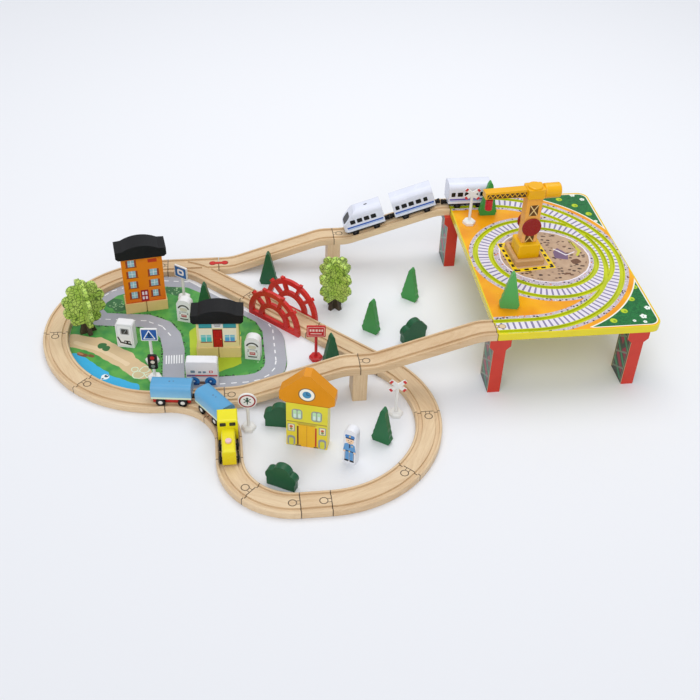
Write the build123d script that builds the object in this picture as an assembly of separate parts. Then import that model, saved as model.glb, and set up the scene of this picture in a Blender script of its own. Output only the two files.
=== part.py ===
from build123d import *
from math import cos, sin, tan, atan, sqrt, radians, degrees, pi
import os

# Wooden train set: a closed track with a raised work-site table, two trains, a crane and a small town.
# Millimetres, +Z up. The layout is drawn from the front left corner of the table, at floor level, with X
# along the table's front edge and Y to the back. Every piece is moved to the row frame on export.

# ---- track section ----
TRACK_W = 40.0
TRACK_T = 12.0
GROOVE_W = 6.0
GROOVE_D = 3.0
GAUGE = 26.0
EDGE_C = 1.2
LIP_C = 0.5
PEG_NECK_W = 6.0
PEG_HEAD_D = 11.0
PEG_REACH = 11.0
PEG_PLAY = 0.35
SOCKET_OVER = 3.0
SEAM = 0.5

# ---- track plan ----
LOOP_R = 182.0
SMALL_R = 95.0
SHORT_L = 44.0
RAMP_L = 210.0
SWITCH_L = 92.0
SWITCH_TAIL = 103.0
FRONT_TURN = 52.0
BACK_TURN = 45.0
DIAGONAL_COUNT = 2

# ---- heights ----
RISER_H = 53.0
RISER_X = 23.0
RAMP_FLAT = 24.0
RAMP_BEND_R = 75.0

# ---- table ----
TABLE_W = 264.0
BOARD_T = 12.0
BOARD_CORNER_R = 18.0
BOARD_LEFT_R = 3.0
YARD_RING_R = 102.0
LEG_X = 20.0
LEG_Y = 48.0
LEG_EAR = 7.0
LEG_EAR_H = 13.0
LEG_INSET = 26.0

# ---- road mat ----
MAT_T = 2.0
MAT_GAP = 1.0
MAT_RIGHT = -316.0
MAT_CORNER_R = 66.0

# ---- bridge sides ----
BRIDGE_R = 56.0
BRIDGE_T = 6.0
BRIDGE_RIM = 9.0
BRIDGE_HUB_R = 24.0
BRIDGE_BASE = 9.0
BRIDGE_AT = 186.0

# ---- crane ----
CRANE_X = 95.0
CRANE_Y = 208.5
CRANE_TURN = 4.0
TRAY_W = 52.0
TRAY_L = 62.0
TRAY_H = 11.0
TRAY_RIM = 6.0
TRAY_POCKET = 4.0
TRAY_CORNER_R = 5.0
TRAY_EDGE_C = 2.0
PLINTH_W = 38.0
PLINTH_H = 26.0
PLINTH_CORNER_R = 3.0
PLINTH_EDGE_C = 1.5
MAST_W = 27.0
MAST_L = 20.0
MAST_H = 84.0
MAST_CORNER_R = 1.5
PIVOT_D = 10.0
PIVOT_L = 12.0
PIVOT_PLAY = 0.05
CRANK_UP = 30.0
CRANK_D = 6.0
CRANK_DISC_D = 33.0
CRANK_DISC_T = 3.5
CRANK_DISC_R = 1.2
HEAD_W = 30.0
HEAD_L = 27.0
HEAD_H = 16.0
HEAD_CORNER_R = 3.0
CAP_D = 25.0
CAP_H = 3.0
CAP_EDGE_R = 2.0
JIB_REACH = 85.0
JIB_TIP_H = 11.0
JIB_TIP_DROP = 2.0
JIB_ROOT_STEP = 1.0
JIB_W = 15.0
WEIGHT_D = 12.0
WEIGHT_H = 19.0
WEIGHT_DROP = 4.0
WEIGHT_INSET = 4.0
WEIGHT_EDGE_R = 1.0
BALLAST_D = 25.0
BALLAST_L = 28.0
BALLAST_EDGE_R = 2.5
BALLAST_DROP = 1.0
RUN_GAP = 0.3

# ---- trains ----
WHEEL_T = 3.0
FREIGHT_SIDE_GAP = 1.5
EXPRESS_SIDE_GAP = 2.0
AXLE_D = 3.0
AXLE_PLAY = 0.05
EXPRESS_WHEEL_R = 6.0
FREIGHT_WHEEL_R = 7.5
LOCO_WHEEL_R = 8.5
MAGNET_D = 9.0
MAGNET_T = 4.0
COUPLER_W = 6.0
COUPLER_H = 5.0
EXPRESS_L = 76.0
EXPRESS_W = 34.0
EXPRESS_H = 38.0
EXPRESS_SPAN = 94.7
EXPRESS_BODY_R = 11.0
EXPRESS_CHASSIS_W = GAUGE - WHEEL_T - 2 * EXPRESS_SIDE_GAP
EXPRESS_CHASSIS_INSET = 4.0
EXPRESS_NOSE_R = 9.0
EXPRESS_NOSE_LOW = 12.0
EXPRESS_NOSE_L = 34.0
EXPRESS_BASE = 40.0
EXPRESS_FLOOR = 3.0
EXPRESS_AT = 60.0
MAGNET_GAP = 0.15
EXPRESS_REACH = EXPRESS_SPAN / 2 - MAGNET_GAP
EXPRESS_TAIL_X = 33.0
WAGON_L = 62.0
WAGON_W = 30.0
WAGON_LOAD_H = 24.0
WAGON_LOAD_R = 9.0
WAGON_CHASSIS_W = GAUGE - WHEEL_T - 2 * FREIGHT_SIDE_GAP
WAGON_CHASSIS_INSET = 2.0
WAGON_FLOOR = 2.0
WAGON_COUPLER_Z = 8.0
WAGON_PITCH = 79.0
WAGON_BASE = 34.0
WAGON_END_REACH = 33.0
WAGON_LINK_REACH = 39.0
LOCO_L = 76.0
CAB_L = 27.0
CAB_W = 30.0
CAB_H = 40.0
CAB_FLOOR = 4.0
CAB_EDGE_R = 3.0
BONNET_L = 52.0
BONNET_W = GAUGE - WHEEL_T - 2 * FREIGHT_SIDE_GAP
BONNET_H = 27.0
BONNET_FLOOR = 3.0
BONNET_EDGE_R = 4.0
CHIMNEY_D = 9.0
CHIMNEY_X = 18.0
CHIMNEY_RISE = 3.0
BORE_L = 40.0
LOCO_REACH = 43.5

# ---- small toys ----
HOUSE_W = 72.0
HOUSE_D = 28.0
HOUSE_BASE_H = 20.0
TALL_H = 112.0
COTTAGE_H = 72.0
ROOF_W = 84.0
ROOF_D = 36.0
ROOF_H = 22.0
FIR_H = 66.0
FIR_W = 32.0
FIR_T = 10.0
BUSH_T = 12.0
LEAFY_H = 104.0
LEAFY_W = 74.0
LEAFY_T = 7.0
SIGN_BASE_D = 23.0
SIGN_BASE_H = 7.0
SIGN_POST_D = 5.0
SIGN_H = 70.0

# ---- derived places ----
LOOP_X = -(2 * RAMP_L + SWITCH_L)
BACK_Y = TRACK_W / 2 + 2 * LOOP_R
FRONT_Y = TRACK_W / 2
TABLE_D = 2 * LOOP_R + TRACK_W
SIDE_R = 2 * LOOP_R * (sqrt(2) - 1) + SMALL_R * (sqrt(2) - 1) ** 2
SIDE_X = LOOP_X + 2 * SMALL_R + SHORT_L
SIDE_Y = FRONT_Y - 2 * SMALL_R - SHORT_L + SIDE_R
LOW_X = LOOP_X + 2 * SMALL_R
LOW_Y = FRONT_Y - SMALL_R - SHORT_L
SMALL_Y = FRONT_Y - SMALL_R
BRANCH_X = LOOP_X + SMALL_R * sin(radians(45))
BRANCH_Y = BACK_Y - SMALL_R * (1 - cos(radians(45)))
DIAGONAL = sqrt(2) * (SIDE_X + SIDE_R * cos(radians(45)) - BRANCH_X)
LONG_L = (DIAGONAL - SWITCH_TAIL) / DIAGONAL_COUNT
DECK_Z = TRACK_T + 2 * RISER_H
BOARD_Z = DECK_Z - BOARD_T
YARD_X = TABLE_W - FRONT_Y - 2 - LOOP_R
YARD_RING_X = YARD_X + LOOP_R - YARD_RING_R - 13
SLOPE = atan(RISER_H / (RAMP_L - 2 * RAMP_FLAT))
ORIGIN_X = (LOOP_X - LOOP_R - TRACK_W / 2 + TABLE_W) / 2
ORIGIN_Y = (SIDE_Y - SIDE_R - TRACK_W / 2 + TABLE_D) / 2
OUT = Location((-ORIGIN_X, -ORIGIN_Y, 0))

pieces = {}


def add(node, *solids):
    pieces.setdefault(node, []).extend(solids)


def at(x, y, z=0.0, turn=0.0):
    return Location((x, y, z), (0, 0, turn))


def prism(points, height, plane=Plane.XY):
    """A straight extrusion of a closed outline, along the plane's normal."""
    return extrude(plane * make_face(Polyline(*points, close=True)), height)


def block(x, y, z, w, d, h):
    """A box standing on z, centred on x and y."""
    return Pos(x, y, z + h / 2) * Box(w, d, h)


def post(x, y, z, diameter, height):
    """An upright cylinder standing on z."""
    return Pos(x, y, z + height / 2) * Cylinder(diameter / 2, height)


def board(outline, thickness):
    """A flat outline in X and Z that stands upright, with its thickness centred on Y."""
    return Pos(0, thickness / 2, 0) * extrude(Plane.XZ * outline, thickness)


# ---- track pieces ----
def section_points(offset=0.0):
    """The track's cross-section across and up, with chamfered edges and both wheel grooves."""
    half = TRACK_W / 2
    near = GAUGE / 2 - GROOVE_W / 2
    far = GAUGE / 2 + GROOVE_W / 2
    right = [
        (half - EDGE_C / 2, 0),
        (half, EDGE_C / 2),
        (half, TRACK_T - EDGE_C),
        (half - EDGE_C, TRACK_T),
        (far + LIP_C, TRACK_T),
        (far, TRACK_T - LIP_C),
        (far, TRACK_T - GROOVE_D),
        (near, TRACK_T - GROOVE_D),
        (near, TRACK_T - LIP_C),
        (near - LIP_C, TRACK_T),
    ]
    left = [(-a, b) for a, b in reversed(right)]
    return [(a + offset, b) for a, b in right + left]


def straight_track(length):
    """A straight piece from the origin along +X."""
    return prism(section_points(), length, Plane.YZ)


def curved_track(radius, start, sweep):
    """A curve about the origin, from the start angle, turning left for a positive sweep."""
    face = Plane.XZ * make_face(Polyline(*section_points(radius), close=True))
    return Rot(0, 0, start) * revolve(face, Axis.Z, sweep)


def straight_grooves(length):
    """Cutters for both grooves of a straight, also used in boards."""
    cut = [Pos(length / 2, s * GAUGE / 2, TRACK_T) * Box(length, GROOVE_W, 2 * GROOVE_D) for s in (-1, 1)]
    return cut[0] + cut[1]


def curved_grooves(radius, start, sweep):
    """Cutters for both grooves of a curve about the origin."""
    cutter = None
    for side in (-1, 1):
        middle = radius + side * GAUGE / 2
        ring = Plane.XZ * (Pos(middle, TRACK_T) * Rectangle(GROOVE_W, 2 * GROOVE_D))
        turned = Rot(0, 0, start) * revolve(ring, Axis.Z, sweep)
        cutter = turned if cutter is None else cutter + turned
    return cutter


def peg(play=0.0, thickness=TRACK_T):
    """The round-headed peg that sticks out along +X, or its socket when it has play."""
    neck = Pos(PEG_REACH / 2 - 0.5, 0, thickness / 2) * Box(PEG_REACH + 1, PEG_NECK_W + 2 * play, thickness)
    head = Pos(PEG_REACH, 0, thickness / 2) * Cylinder(PEG_HEAD_D / 2 + play, thickness)
    return neck + head


def with_joints(track, pegs=(), sockets=()):
    """Adds pegs and cuts sockets at places given as x, y, z and the peg's heading."""
    for x, y, z, heading in pegs:
        track = track + at(x, y, z, heading) * peg()
    for x, y, z, heading in sockets:
        cutter = peg(PEG_PLAY, TRACK_T + 2 * SOCKET_OVER) + block(0, 0, 0, 2 * SEAM, TRACK_W + 2, 2 * TRACK_T)
        track = track - at(x, y, z - SOCKET_OVER, heading) * cutter
    return track


def circle_point(cx, cy, radius, angle):
    return cx + radius * cos(radians(angle)), cy + radius * sin(radians(angle))


def curve_run(node, cx, cy, radius, start, sweep, count):
    """Equal curve pieces about one centre, each with a socket at its start and a peg at its end."""
    step = sweep / count
    lead = 90 if sweep > 0 else -90
    for i in range(count):
        a = start + i * step
        x0, y0 = circle_point(cx, cy, radius, a)
        x1, y1 = circle_point(cx, cy, radius, a + step)
        low = min(a, a + step)
        piece = Pos(cx, cy) * curved_track(radius, low, abs(step))
        piece = with_joints(piece, [(x1, y1, 0, a + step + lead)], [(x0, y0, 0, a + lead)])
        add(node, piece)


def straight_piece(node, x, y, heading, length):
    """A straight with a socket at its start and a peg at its end."""
    piece = at(x, y, 0, heading) * straight_track(length)
    x1 = x + length * cos(radians(heading))
    y1 = y + length * sin(radians(heading))
    add(node, with_joints(piece, [(x1, y1, 0, heading)], [(x, y, 0, heading)]))


def switch_blank(y, turn, tail):
    """A straight leg and a leg that turns right, sharing one end."""
    straight = at(LOOP_X, y) * straight_track(SWITCH_L)
    curve = Pos(LOOP_X, y - SMALL_R) * curved_track(SMALL_R, 90 - turn, turn)
    cut = at(LOOP_X, y) * straight_grooves(SWITCH_L)
    cut += Pos(LOOP_X, y - SMALL_R) * curved_grooves(SMALL_R, 90 - turn, turn)
    blank = straight + curve
    if tail > 0:
        bx, by = circle_point(LOOP_X, y - SMALL_R, SMALL_R, 90 - turn)
        blank += at(bx, by, 0, -turn) * straight_track(tail)
        cut += at(bx, by, 0, -turn) * straight_grooves(tail)
    return blank - cut


def ramp_side(lift):
    """The ramp's top line seen from the side, from its low end to its high end."""
    return FilletPolyline(
        (0, lift),
        (RAMP_FLAT, lift),
        (RAMP_L - RAMP_FLAT, lift + RISER_H),
        (RAMP_L, lift + RISER_H),
        radius=RAMP_BEND_R,
    )


def ramp_band(low, high, width):
    """An upright band between two copies of the ramp's line."""
    top = ramp_side(high)
    bottom = ramp_side(low)
    face = make_face([top, Line(top @ 1, bottom @ 1), bottom, Line(bottom @ 0, top @ 0)])
    return Pos(0, width / 2, 0) * extrude(Plane.XZ * face, width)


def ramp_track():
    """A ramp from the origin along +X, with a socket at its low end and a peg at its high end."""
    band = ramp_band(0, TRACK_T, TRACK_W)
    for side in (-1, 1):
        groove = ramp_band(TRACK_T - GROOVE_D, TRACK_T + 1, GROOVE_W)
        band -= Pos(0, side * GAUGE / 2, 0) * groove
        edge = ramp_band(TRACK_T - EDGE_C, TRACK_T + 1, EDGE_C)
        band -= Pos(0, side * (TRACK_W - EDGE_C) / 2, 0) * edge
    return with_joints(band, [(RAMP_L, 0, RISER_H, 0)], [(0, 0, 0, 0)])


def build_track():
    front = switch_blank(FRONT_Y, FRONT_TURN, 0)
    bx, by = circle_point(LOOP_X, SMALL_Y, SMALL_R, 90 - FRONT_TURN)
    front_pegs = [(LOOP_X + SWITCH_L, FRONT_Y, 0, 0)]
    front_sockets = [(LOOP_X, FRONT_Y, 0, 0), (bx, by, 0, 180 - FRONT_TURN)]
    add("front_switch", with_joints(front, front_pegs, front_sockets))

    back = switch_blank(BACK_Y, BACK_TURN, SWITCH_TAIL)
    tx = BRANCH_X + SWITCH_TAIL * cos(radians(45))
    ty = BRANCH_Y - SWITCH_TAIL * sin(radians(45))
    back_pegs = [(LOOP_X, BACK_Y, 0, 180), (tx, ty, 0, -45)]
    back_sockets = [(LOOP_X + SWITCH_L, BACK_Y, 0, 180)]
    add("back_switch", with_joints(back, back_pegs, back_sockets))

    curve_run("loop_curves", LOOP_X, FRONT_Y + LOOP_R, LOOP_R, 90, 180, 4)
    for i in range(DIAGONAL_COUNT):
        step = i * LONG_L / sqrt(2)
        straight_piece("long_straights", tx + step, ty - step, -45, LONG_L)
    curve_run("side_curves", SIDE_X, SIDE_Y, SIDE_R, 45, -135, 3)
    straight_piece("short_straights", SIDE_X, SIDE_Y - SIDE_R, 180, SHORT_L)
    curve_run("small_curves", LOW_X, LOW_Y, SMALL_R, -90, -90, 2)
    straight_piece("short_straights", LOW_X - SMALL_R, LOW_Y, 90, SHORT_L)
    curve_run("small_curves", LOOP_X, SMALL_Y, SMALL_R, 0, 90 - FRONT_TURN, 1)

    for y in (FRONT_Y, BACK_Y):
        for i in range(2):
            x = -2 * RAMP_L + i * RAMP_L
            add("ramps", Pos(x, y, i * RISER_H) * ramp_track())
        foot = block(-RAMP_L, y, 0, RISER_X, TRACK_W, RISER_H)
        add("risers", fillet(foot.edges().filter_by(Axis.Z), 1.5))

    links = [at(-2 * RAMP_L, BACK_Y, 0, turn) * peg(0, TRACK_T + 0.6) for turn in (0, 180)]
    add("joint_connector", links[0] + links[1])


# ---- table ----
def build_table():
    slab = block(TABLE_W / 2, TABLE_D / 2, BOARD_Z, TABLE_W, TABLE_D, BOARD_T)
    upright = slab.edges().filter_by(Axis.Z).sort_by(Axis.X)
    slab = fillet(upright[-2:], BOARD_CORNER_R)
    upright = slab.edges().filter_by(Axis.Z).sort_by(Axis.X)
    slab = fillet(upright[:2], BOARD_LEFT_R)
    slab = chamfer(slab.faces().sort_by(Axis.Z)[-1].edges(), EDGE_C / 2)
    lift = DECK_Z - TRACK_T
    for y in (FRONT_Y, BACK_Y):
        slab -= at(0, y, lift) * straight_grooves(YARD_X)
    slab -= Pos(YARD_X, TABLE_D / 2, lift) * curved_grooves(LOOP_R, -90, 180)
    slab -= Pos(YARD_RING_X, TABLE_D / 2, lift) * curved_grooves(YARD_RING_R, 0, 360)
    sockets = [(0, FRONT_Y, BOARD_Z, 0), (0, BACK_Y, BOARD_Z, 0)]
    add("table_top", with_joints(slab, [], sockets))

    half = LEG_X / 2
    outline = [
        (-half, 0),
        (half, 0),
        (half, BOARD_Z - LEG_EAR_H - LEG_EAR),
        (half + LEG_EAR, BOARD_Z - LEG_EAR_H),
        (half + LEG_EAR, BOARD_Z),
        (-half - LEG_EAR, BOARD_Z),
        (-half - LEG_EAR, BOARD_Z - LEG_EAR_H),
        (-half, BOARD_Z - LEG_EAR_H - LEG_EAR),
    ]
    leg = Pos(0, LEG_Y, 0) * prism(outline, LEG_Y, Plane.XZ)
    left = LEG_X / 2 + LEG_EAR - 11
    for x in (left, TABLE_W - LEG_INSET - half):
        for y in (0.5, TABLE_D - LEG_Y - 0.5):
            add("table_legs", Pos(x, y, 0) * leg)


# ---- road mat ----
def build_mat():
    inner = LOOP_R - TRACK_W / 2 - MAT_GAP
    low = TRACK_W + MAT_GAP
    high = BACK_Y - TRACK_W / 2 - 4
    line = BRANCH_X + BRANCH_Y - sqrt(2) * (TRACK_W / 2 + BRIDGE_T + 4)
    disc = Pos(LOOP_X, FRONT_Y + LOOP_R) * Cylinder(inner, MAT_T)
    left = disc & Pos(LOOP_X - inner, FRONT_Y + LOOP_R, 0) * Box(2 * inner, 2 * inner, MAT_T)
    top = Line((LOOP_X, high), (line - high, high))
    edge = FilletPolyline(
        (line - high, high),
        (MAT_RIGHT, line - MAT_RIGHT),
        (MAT_RIGHT, low),
        (LOOP_X, low),
        radius=MAT_CORNER_R,
    )
    close = Line((LOOP_X, low), (LOOP_X, high))
    right = extrude(make_face([top, edge, close]), MAT_T)
    add("town_mat", Pos(0, 0, MAT_T / 2) * left + right)


# ---- bridge ----
def build_bridge():
    ring = Circle(BRIDGE_R) - Circle(BRIDGE_R - BRIDGE_RIM)
    web = Circle(BRIDGE_HUB_R + BRIDGE_RIM) - Circle(BRIDGE_HUB_R)
    spokes = ring + web
    for angle in (40, 70, 110, 140):
        arm = Pos(BRIDGE_HUB_R + BRIDGE_R / 2 - 6, 0) * Rectangle(BRIDGE_R - BRIDGE_HUB_R - 2, 6)
        spokes += Rot(0, 0, angle) * arm
    upper = spokes & (Pos(0, BRIDGE_R / 2) * Rectangle(2 * BRIDGE_R, BRIDGE_R))
    sill = Pos(0, BRIDGE_BASE / 2 - 0.01) * Rectangle(2 * BRIDGE_R, BRIDGE_BASE)
    outline = Pos(0, BRIDGE_BASE - 0.02) * upper + sill
    panel = board(outline, BRIDGE_T)
    mx = BRANCH_X + BRIDGE_AT / sqrt(2)
    my = BRANCH_Y - BRIDGE_AT / sqrt(2)
    away = (TRACK_W + BRIDGE_T) / 2 + 0.3
    for side in (-1, 1):
        x = mx + side * away * cos(radians(45))
        y = my + side * away * sin(radians(45))
        add("bridge_sides", at(x, y, 0, -45) * panel)


# ---- crane ----
def build_crane():
    base = at(CRANE_X, CRANE_Y, DECK_Z, CRANE_TURN)
    tray = block(0, 0, 0, TRAY_W, TRAY_L, TRAY_H)
    tray = fillet(tray.edges().filter_by(Axis.Z), TRAY_CORNER_R)
    tray = chamfer(tray.faces().sort_by(Axis.Z)[-1].edges(), TRAY_EDGE_C)
    pocket_w = TRAY_W - 2 * TRAY_RIM
    pocket_l = TRAY_L - 2 * TRAY_RIM
    tray -= block(0, 0, TRAY_H - TRAY_POCKET, pocket_w, pocket_l, TRAY_POCKET)
    add("crane_base", base * tray)

    seat = TRAY_H - TRAY_POCKET
    plinth = block(0, 0, seat, PLINTH_W, PLINTH_W, PLINTH_H)
    plinth = fillet(plinth.edges().filter_by(Axis.Z), PLINTH_CORNER_R)
    plinth = chamfer(plinth.faces().sort_by(Axis.Z)[-1].edges(), PLINTH_EDGE_C)
    pivot_low = seat + PLINTH_H - PIVOT_L
    plinth -= post(0, 0, pivot_low - RUN_GAP, PIVOT_D + 2 * PIVOT_PLAY, PIVOT_L + 2 * RUN_GAP)
    add("crane_plinth", base * plinth)

    foot = seat + PLINTH_H + RUN_GAP
    mast = block(0, 0, foot, MAST_W, MAST_L, MAST_H)
    mast = fillet(mast.edges().filter_by(Axis.Z), MAST_CORNER_R)
    mast += post(0, 0, pivot_low, PIVOT_D, PIVOT_L + 2 * RUN_GAP)
    crank_z = foot + CRANK_UP
    mast -= Pos(0, 0, crank_z) * Rot(90, 0, 0) * Cylinder(CRANK_D / 2 + PIVOT_PLAY, 2 * MAST_L)
    add("crane_mast", base * mast)

    shaft = Rot(90, 0, 0) * Cylinder(CRANK_D / 2, MAST_L + 2 * RUN_GAP)
    disc = Rot(90, 0, 0) * Cylinder(CRANK_DISC_D / 2, CRANK_DISC_T)
    disc = fillet(disc.edges(), CRANK_DISC_R)
    out = MAST_L / 2 + RUN_GAP + CRANK_DISC_T / 2
    crank = shaft + Pos(0, out, 0) * disc + Pos(0, -out, 0) * disc
    add("crane_crank", base * (Pos(0, 0, crank_z) * crank))

    top = foot + MAST_H
    head = block(0, 0, top, HEAD_W, HEAD_L, HEAD_H)
    head = fillet(head.edges().filter_by(Axis.Z), HEAD_CORNER_R)
    tip_low = top + HEAD_H - JIB_TIP_DROP - JIB_TIP_H
    arm = [
        (-JIB_REACH, tip_low),
        (0, top + JIB_ROOT_STEP),
        (0, top + HEAD_H - JIB_ROOT_STEP),
        (-JIB_REACH, tip_low + JIB_TIP_H),
    ]
    jib = board(make_face(Polyline(*arm, close=True)), JIB_W)
    cap = post(0, 0, top + HEAD_H, CAP_D, CAP_H)
    cap = fillet(cap.edges().sort_by(Axis.Z)[-1], CAP_EDGE_R)
    add("crane_jib", base * (head + jib + cap))

    barrel = Rot(0, 90, 0) * Cylinder(BALLAST_D / 2, BALLAST_L)
    barrel = fillet(barrel.edges(), BALLAST_EDGE_R)
    barrel_z = top + HEAD_H / 2 - BALLAST_DROP
    add("crane_counterweight", base * (Pos(HEAD_W / 2 + BALLAST_L / 2, 0, barrel_z) * barrel))

    weight_x = WEIGHT_D / 2 + WEIGHT_INSET - JIB_REACH
    slope = (tip_low - top - JIB_ROOT_STEP) / JIB_REACH
    under = tip_low - slope * (weight_x + JIB_REACH)
    weight = post(weight_x, 0, under - WEIGHT_DROP - WEIGHT_H, WEIGHT_D, WEIGHT_H)
    weight = fillet(weight.edges(), WEIGHT_EDGE_R)
    add("hoist_weight", base * weight)
    return crank_z, under, weight_x


# ---- trains ----
def wheelset(x, z, radius):
    """An axle across Y with a wheel near each end, as three solids that touch."""
    axle = Pos(x, 0, z) * Rot(90, 0, 0) * Cylinder(AXLE_D / 2, GAUGE - WHEEL_T)
    out = [axle]
    for side in (-1, 1):
        wheel = Rot(90, 0, 0) * Cylinder(radius, WHEEL_T)
        wheel = fillet(wheel.edges(), 0.5)
        out.append(Pos(x, side * GAUGE / 2, z) * wheel)
    return out


def axle_bore(x, z, width):
    return Pos(x, 0, z) * Rot(90, 0, 0) * Cylinder(AXLE_D / 2 + AXLE_PLAY, width)


def coupler(x, reach, z):
    """An arm from the chassis end at x with a round magnet whose face is at reach, behind for a negative x."""
    side = 1 if x > 0 else -1
    arm_end = reach - MAGNET_T / 2
    arm = Pos(side * (abs(x) + arm_end) / 2, 0, z) * Box(arm_end - abs(x), COUPLER_W, COUPLER_H)
    disc = Rot(0, 90, 0) * Cylinder(MAGNET_D / 2, MAGNET_T)
    disc = fillet(disc.edges(), 0.6)
    return arm + Pos(side * arm_end, 0, z) * disc


def rounded_shell(length, width, low, high, shoulder):
    """A car body along X with a rounded roof."""
    shell = block(0, 0, low, length, width, high - low)
    roof = [e for e in shell.edges().filter_by(Axis.X) if e.center().Z > high - 0.1]
    return fillet(roof, shoulder)


def express_car(node, place, nose):
    """A white car with a black chassis; z=0 is the top of the track."""
    wheel_z = EXPRESS_WHEEL_R + RUN_GAP - GROOVE_D
    low = 2 * EXPRESS_WHEEL_R - GROOVE_D + 2 * RUN_GAP
    high = low + EXPRESS_H
    shell = rounded_shell(EXPRESS_L, EXPRESS_W, low, high, EXPRESS_BODY_R)
    if nose:
        half = EXPRESS_L / 2
        slant = [(-half - 1, low + EXPRESS_NOSE_LOW), (-half - 1, high + 1)]
        slant += [(-half + EXPRESS_NOSE_L, high + 1), (-half + EXPRESS_NOSE_L - 8, high - 2)]
        shell -= Pos(0, EXPRESS_W, 0) * prism(slant, 2 * EXPRESS_W, Plane.XZ)
        tip = shell.edges().filter_by(Axis.Z).sort_by(Axis.X)[:2]
        shell = fillet(tip, EXPRESS_NOSE_R)
    chassis_l = EXPRESS_L - 2 * EXPRESS_CHASSIS_INSET
    chassis = block(0, 0, EXPRESS_FLOOR, chassis_l, EXPRESS_CHASSIS_W, low - EXPRESS_FLOOR)
    for end in (-1, 1):
        chassis -= axle_bore(end * EXPRESS_BASE / 2, wheel_z, BORE_L)
    add(node + "_shell", place * shell)
    ends = (1,) if nose else (-1, 1)
    links = [place * coupler(end * chassis_l / 2, EXPRESS_REACH, low - MAGNET_D / 2) for end in ends]
    add(node + "_chassis", place * chassis, *links)
    for name, end in (("front", -1), ("rear", 1)):
        solids = wheelset(end * EXPRESS_BASE / 2, wheel_z, EXPRESS_WHEEL_R)
        add(node + "_" + name + "_wheels", *[place * s for s in solids])


def freight_wagon(node, place, front_reach, rear_reach):
    """A red wagon with a light blue load; z=0 is the top of the track and +X is forwards."""
    wheel_z = FREIGHT_WHEEL_R + RUN_GAP - GROOVE_D
    low = 2 * FREIGHT_WHEEL_R - GROOVE_D + 2 * RUN_GAP
    chassis_l = WAGON_L - 2 * WAGON_CHASSIS_INSET
    chassis = block(0, 0, WAGON_FLOOR, chassis_l, WAGON_CHASSIS_W, low - WAGON_FLOOR)
    for end in (-1, 1):
        chassis -= axle_bore(end * WAGON_BASE / 2, wheel_z, BORE_L)
    load = rounded_shell(WAGON_L, WAGON_W, low, low + WAGON_LOAD_H, WAGON_LOAD_R)
    add(node + "_load", place * load)
    front_link = place * coupler(chassis_l / 2, front_reach, WAGON_COUPLER_Z)
    rear_link = place * coupler(-chassis_l / 2, rear_reach, WAGON_COUPLER_Z)
    add(node + "_chassis", place * chassis, front_link, rear_link)
    for name, end in (("front", 1), ("rear", -1)):
        solids = wheelset(end * WAGON_BASE / 2, wheel_z, FREIGHT_WHEEL_R)
        add(node + "_" + name + "_wheels", *[place * s for s in solids])


LOCO_AXLES = (("front", 26.0), ("rear", 0.0))


def freight_loco(place):
    """A yellow engine with a wide cab behind a narrow bonnet; z=0 is the top of the track."""
    wheel_z = LOCO_WHEEL_R + RUN_GAP - GROOVE_D
    rear = -LOCO_L / 2
    cab = block(rear + CAB_L / 2, 0, CAB_FLOOR, CAB_L, CAB_W, CAB_H)
    cab = fillet(cab.faces().sort_by(Axis.Z)[-1].edges(), CAB_EDGE_R)
    front = -rear
    bonnet = block(front - BONNET_L / 2, 0, BONNET_FLOOR, BONNET_L, BONNET_W, BONNET_H)
    bonnet_top = BONNET_FLOOR + BONNET_H
    top_edges = [e for e in bonnet.edges() if e.center().Z > bonnet_top - 1 and e.center().X > rear + CAB_L - 2]
    bonnet = fillet(top_edges, BONNET_EDGE_R)
    chimney = post(CHIMNEY_X, 0, bonnet_top - 1, CHIMNEY_D, CHIMNEY_RISE + 1)
    body = cab + bonnet + chimney
    for _, x in LOCO_AXLES:
        body -= axle_bore(x, wheel_z, BORE_L)
    add("freight_loco_body", place * body, place * coupler(rear, LOCO_REACH, WAGON_COUPLER_Z))
    for name, x in LOCO_AXLES:
        solids = wheelset(x, wheel_z, LOCO_WHEEL_R)
        add("freight_loco_" + name + "_wheels", *[place * s for s in solids])


def train_places():
    """Where each car stands: x, y, z of the rail top, heading and slope, as a list of tuples."""
    run = -RAMP_L + EXPRESS_AT
    rise = tan(SLOPE)
    mid_x = -RAMP_L / 2
    mid_z = TRACK_T + 1.5 * RISER_H
    places = {}
    for name, step in (("express_loco", 0), ("express_middle", EXPRESS_SPAN * cos(SLOPE))):
        x = run + step
        places[name] = (x, BACK_Y, mid_z + (x - mid_x) * rise, 0.0, -degrees(SLOPE))
    places["express_tail"] = (EXPRESS_TAIL_X, BACK_Y, DECK_Z, 0.0, 0.0)
    loco_y = LOW_Y + SHORT_L / 2
    places["freight_loco"] = (LOW_X - SMALL_R, loco_y, TRACK_T, -90.0, 0.0)
    past = SHORT_L / 2
    ride = sqrt(SMALL_R ** 2 - (WAGON_BASE / 2) ** 2)
    for i, name in enumerate(("freight_wagon_1", "freight_wagon_2")):
        angle = degrees(((i + 1) * WAGON_PITCH - past) / SMALL_R)
        x, y = circle_point(LOOP_X, SMALL_Y, ride, angle)
        places[name] = (x, y, TRACK_T, angle - 90, 0.0)
    return places


def car_place(spot):
    x, y, z, heading, slope = spot
    return Location((x, y, z)) * Location((0, 0, 0), (0, 0, heading)) * Location((0, 0, 0), (0, slope, 0))


def build_trains():
    places = train_places()
    express_car("express_loco", car_place(places["express_loco"]), True)
    express_car("express_middle", car_place(places["express_middle"]), False)
    express_car("express_tail", car_place(places["express_tail"]), False)
    freight_loco(car_place(places["freight_loco"]))
    near = car_place(places["freight_wagon_1"])
    freight_wagon("freight_wagon_1", near, WAGON_END_REACH, WAGON_LINK_REACH)
    far = car_place(places["freight_wagon_2"])
    freight_wagon("freight_wagon_2", far, WAGON_LINK_REACH, WAGON_END_REACH)


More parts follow.
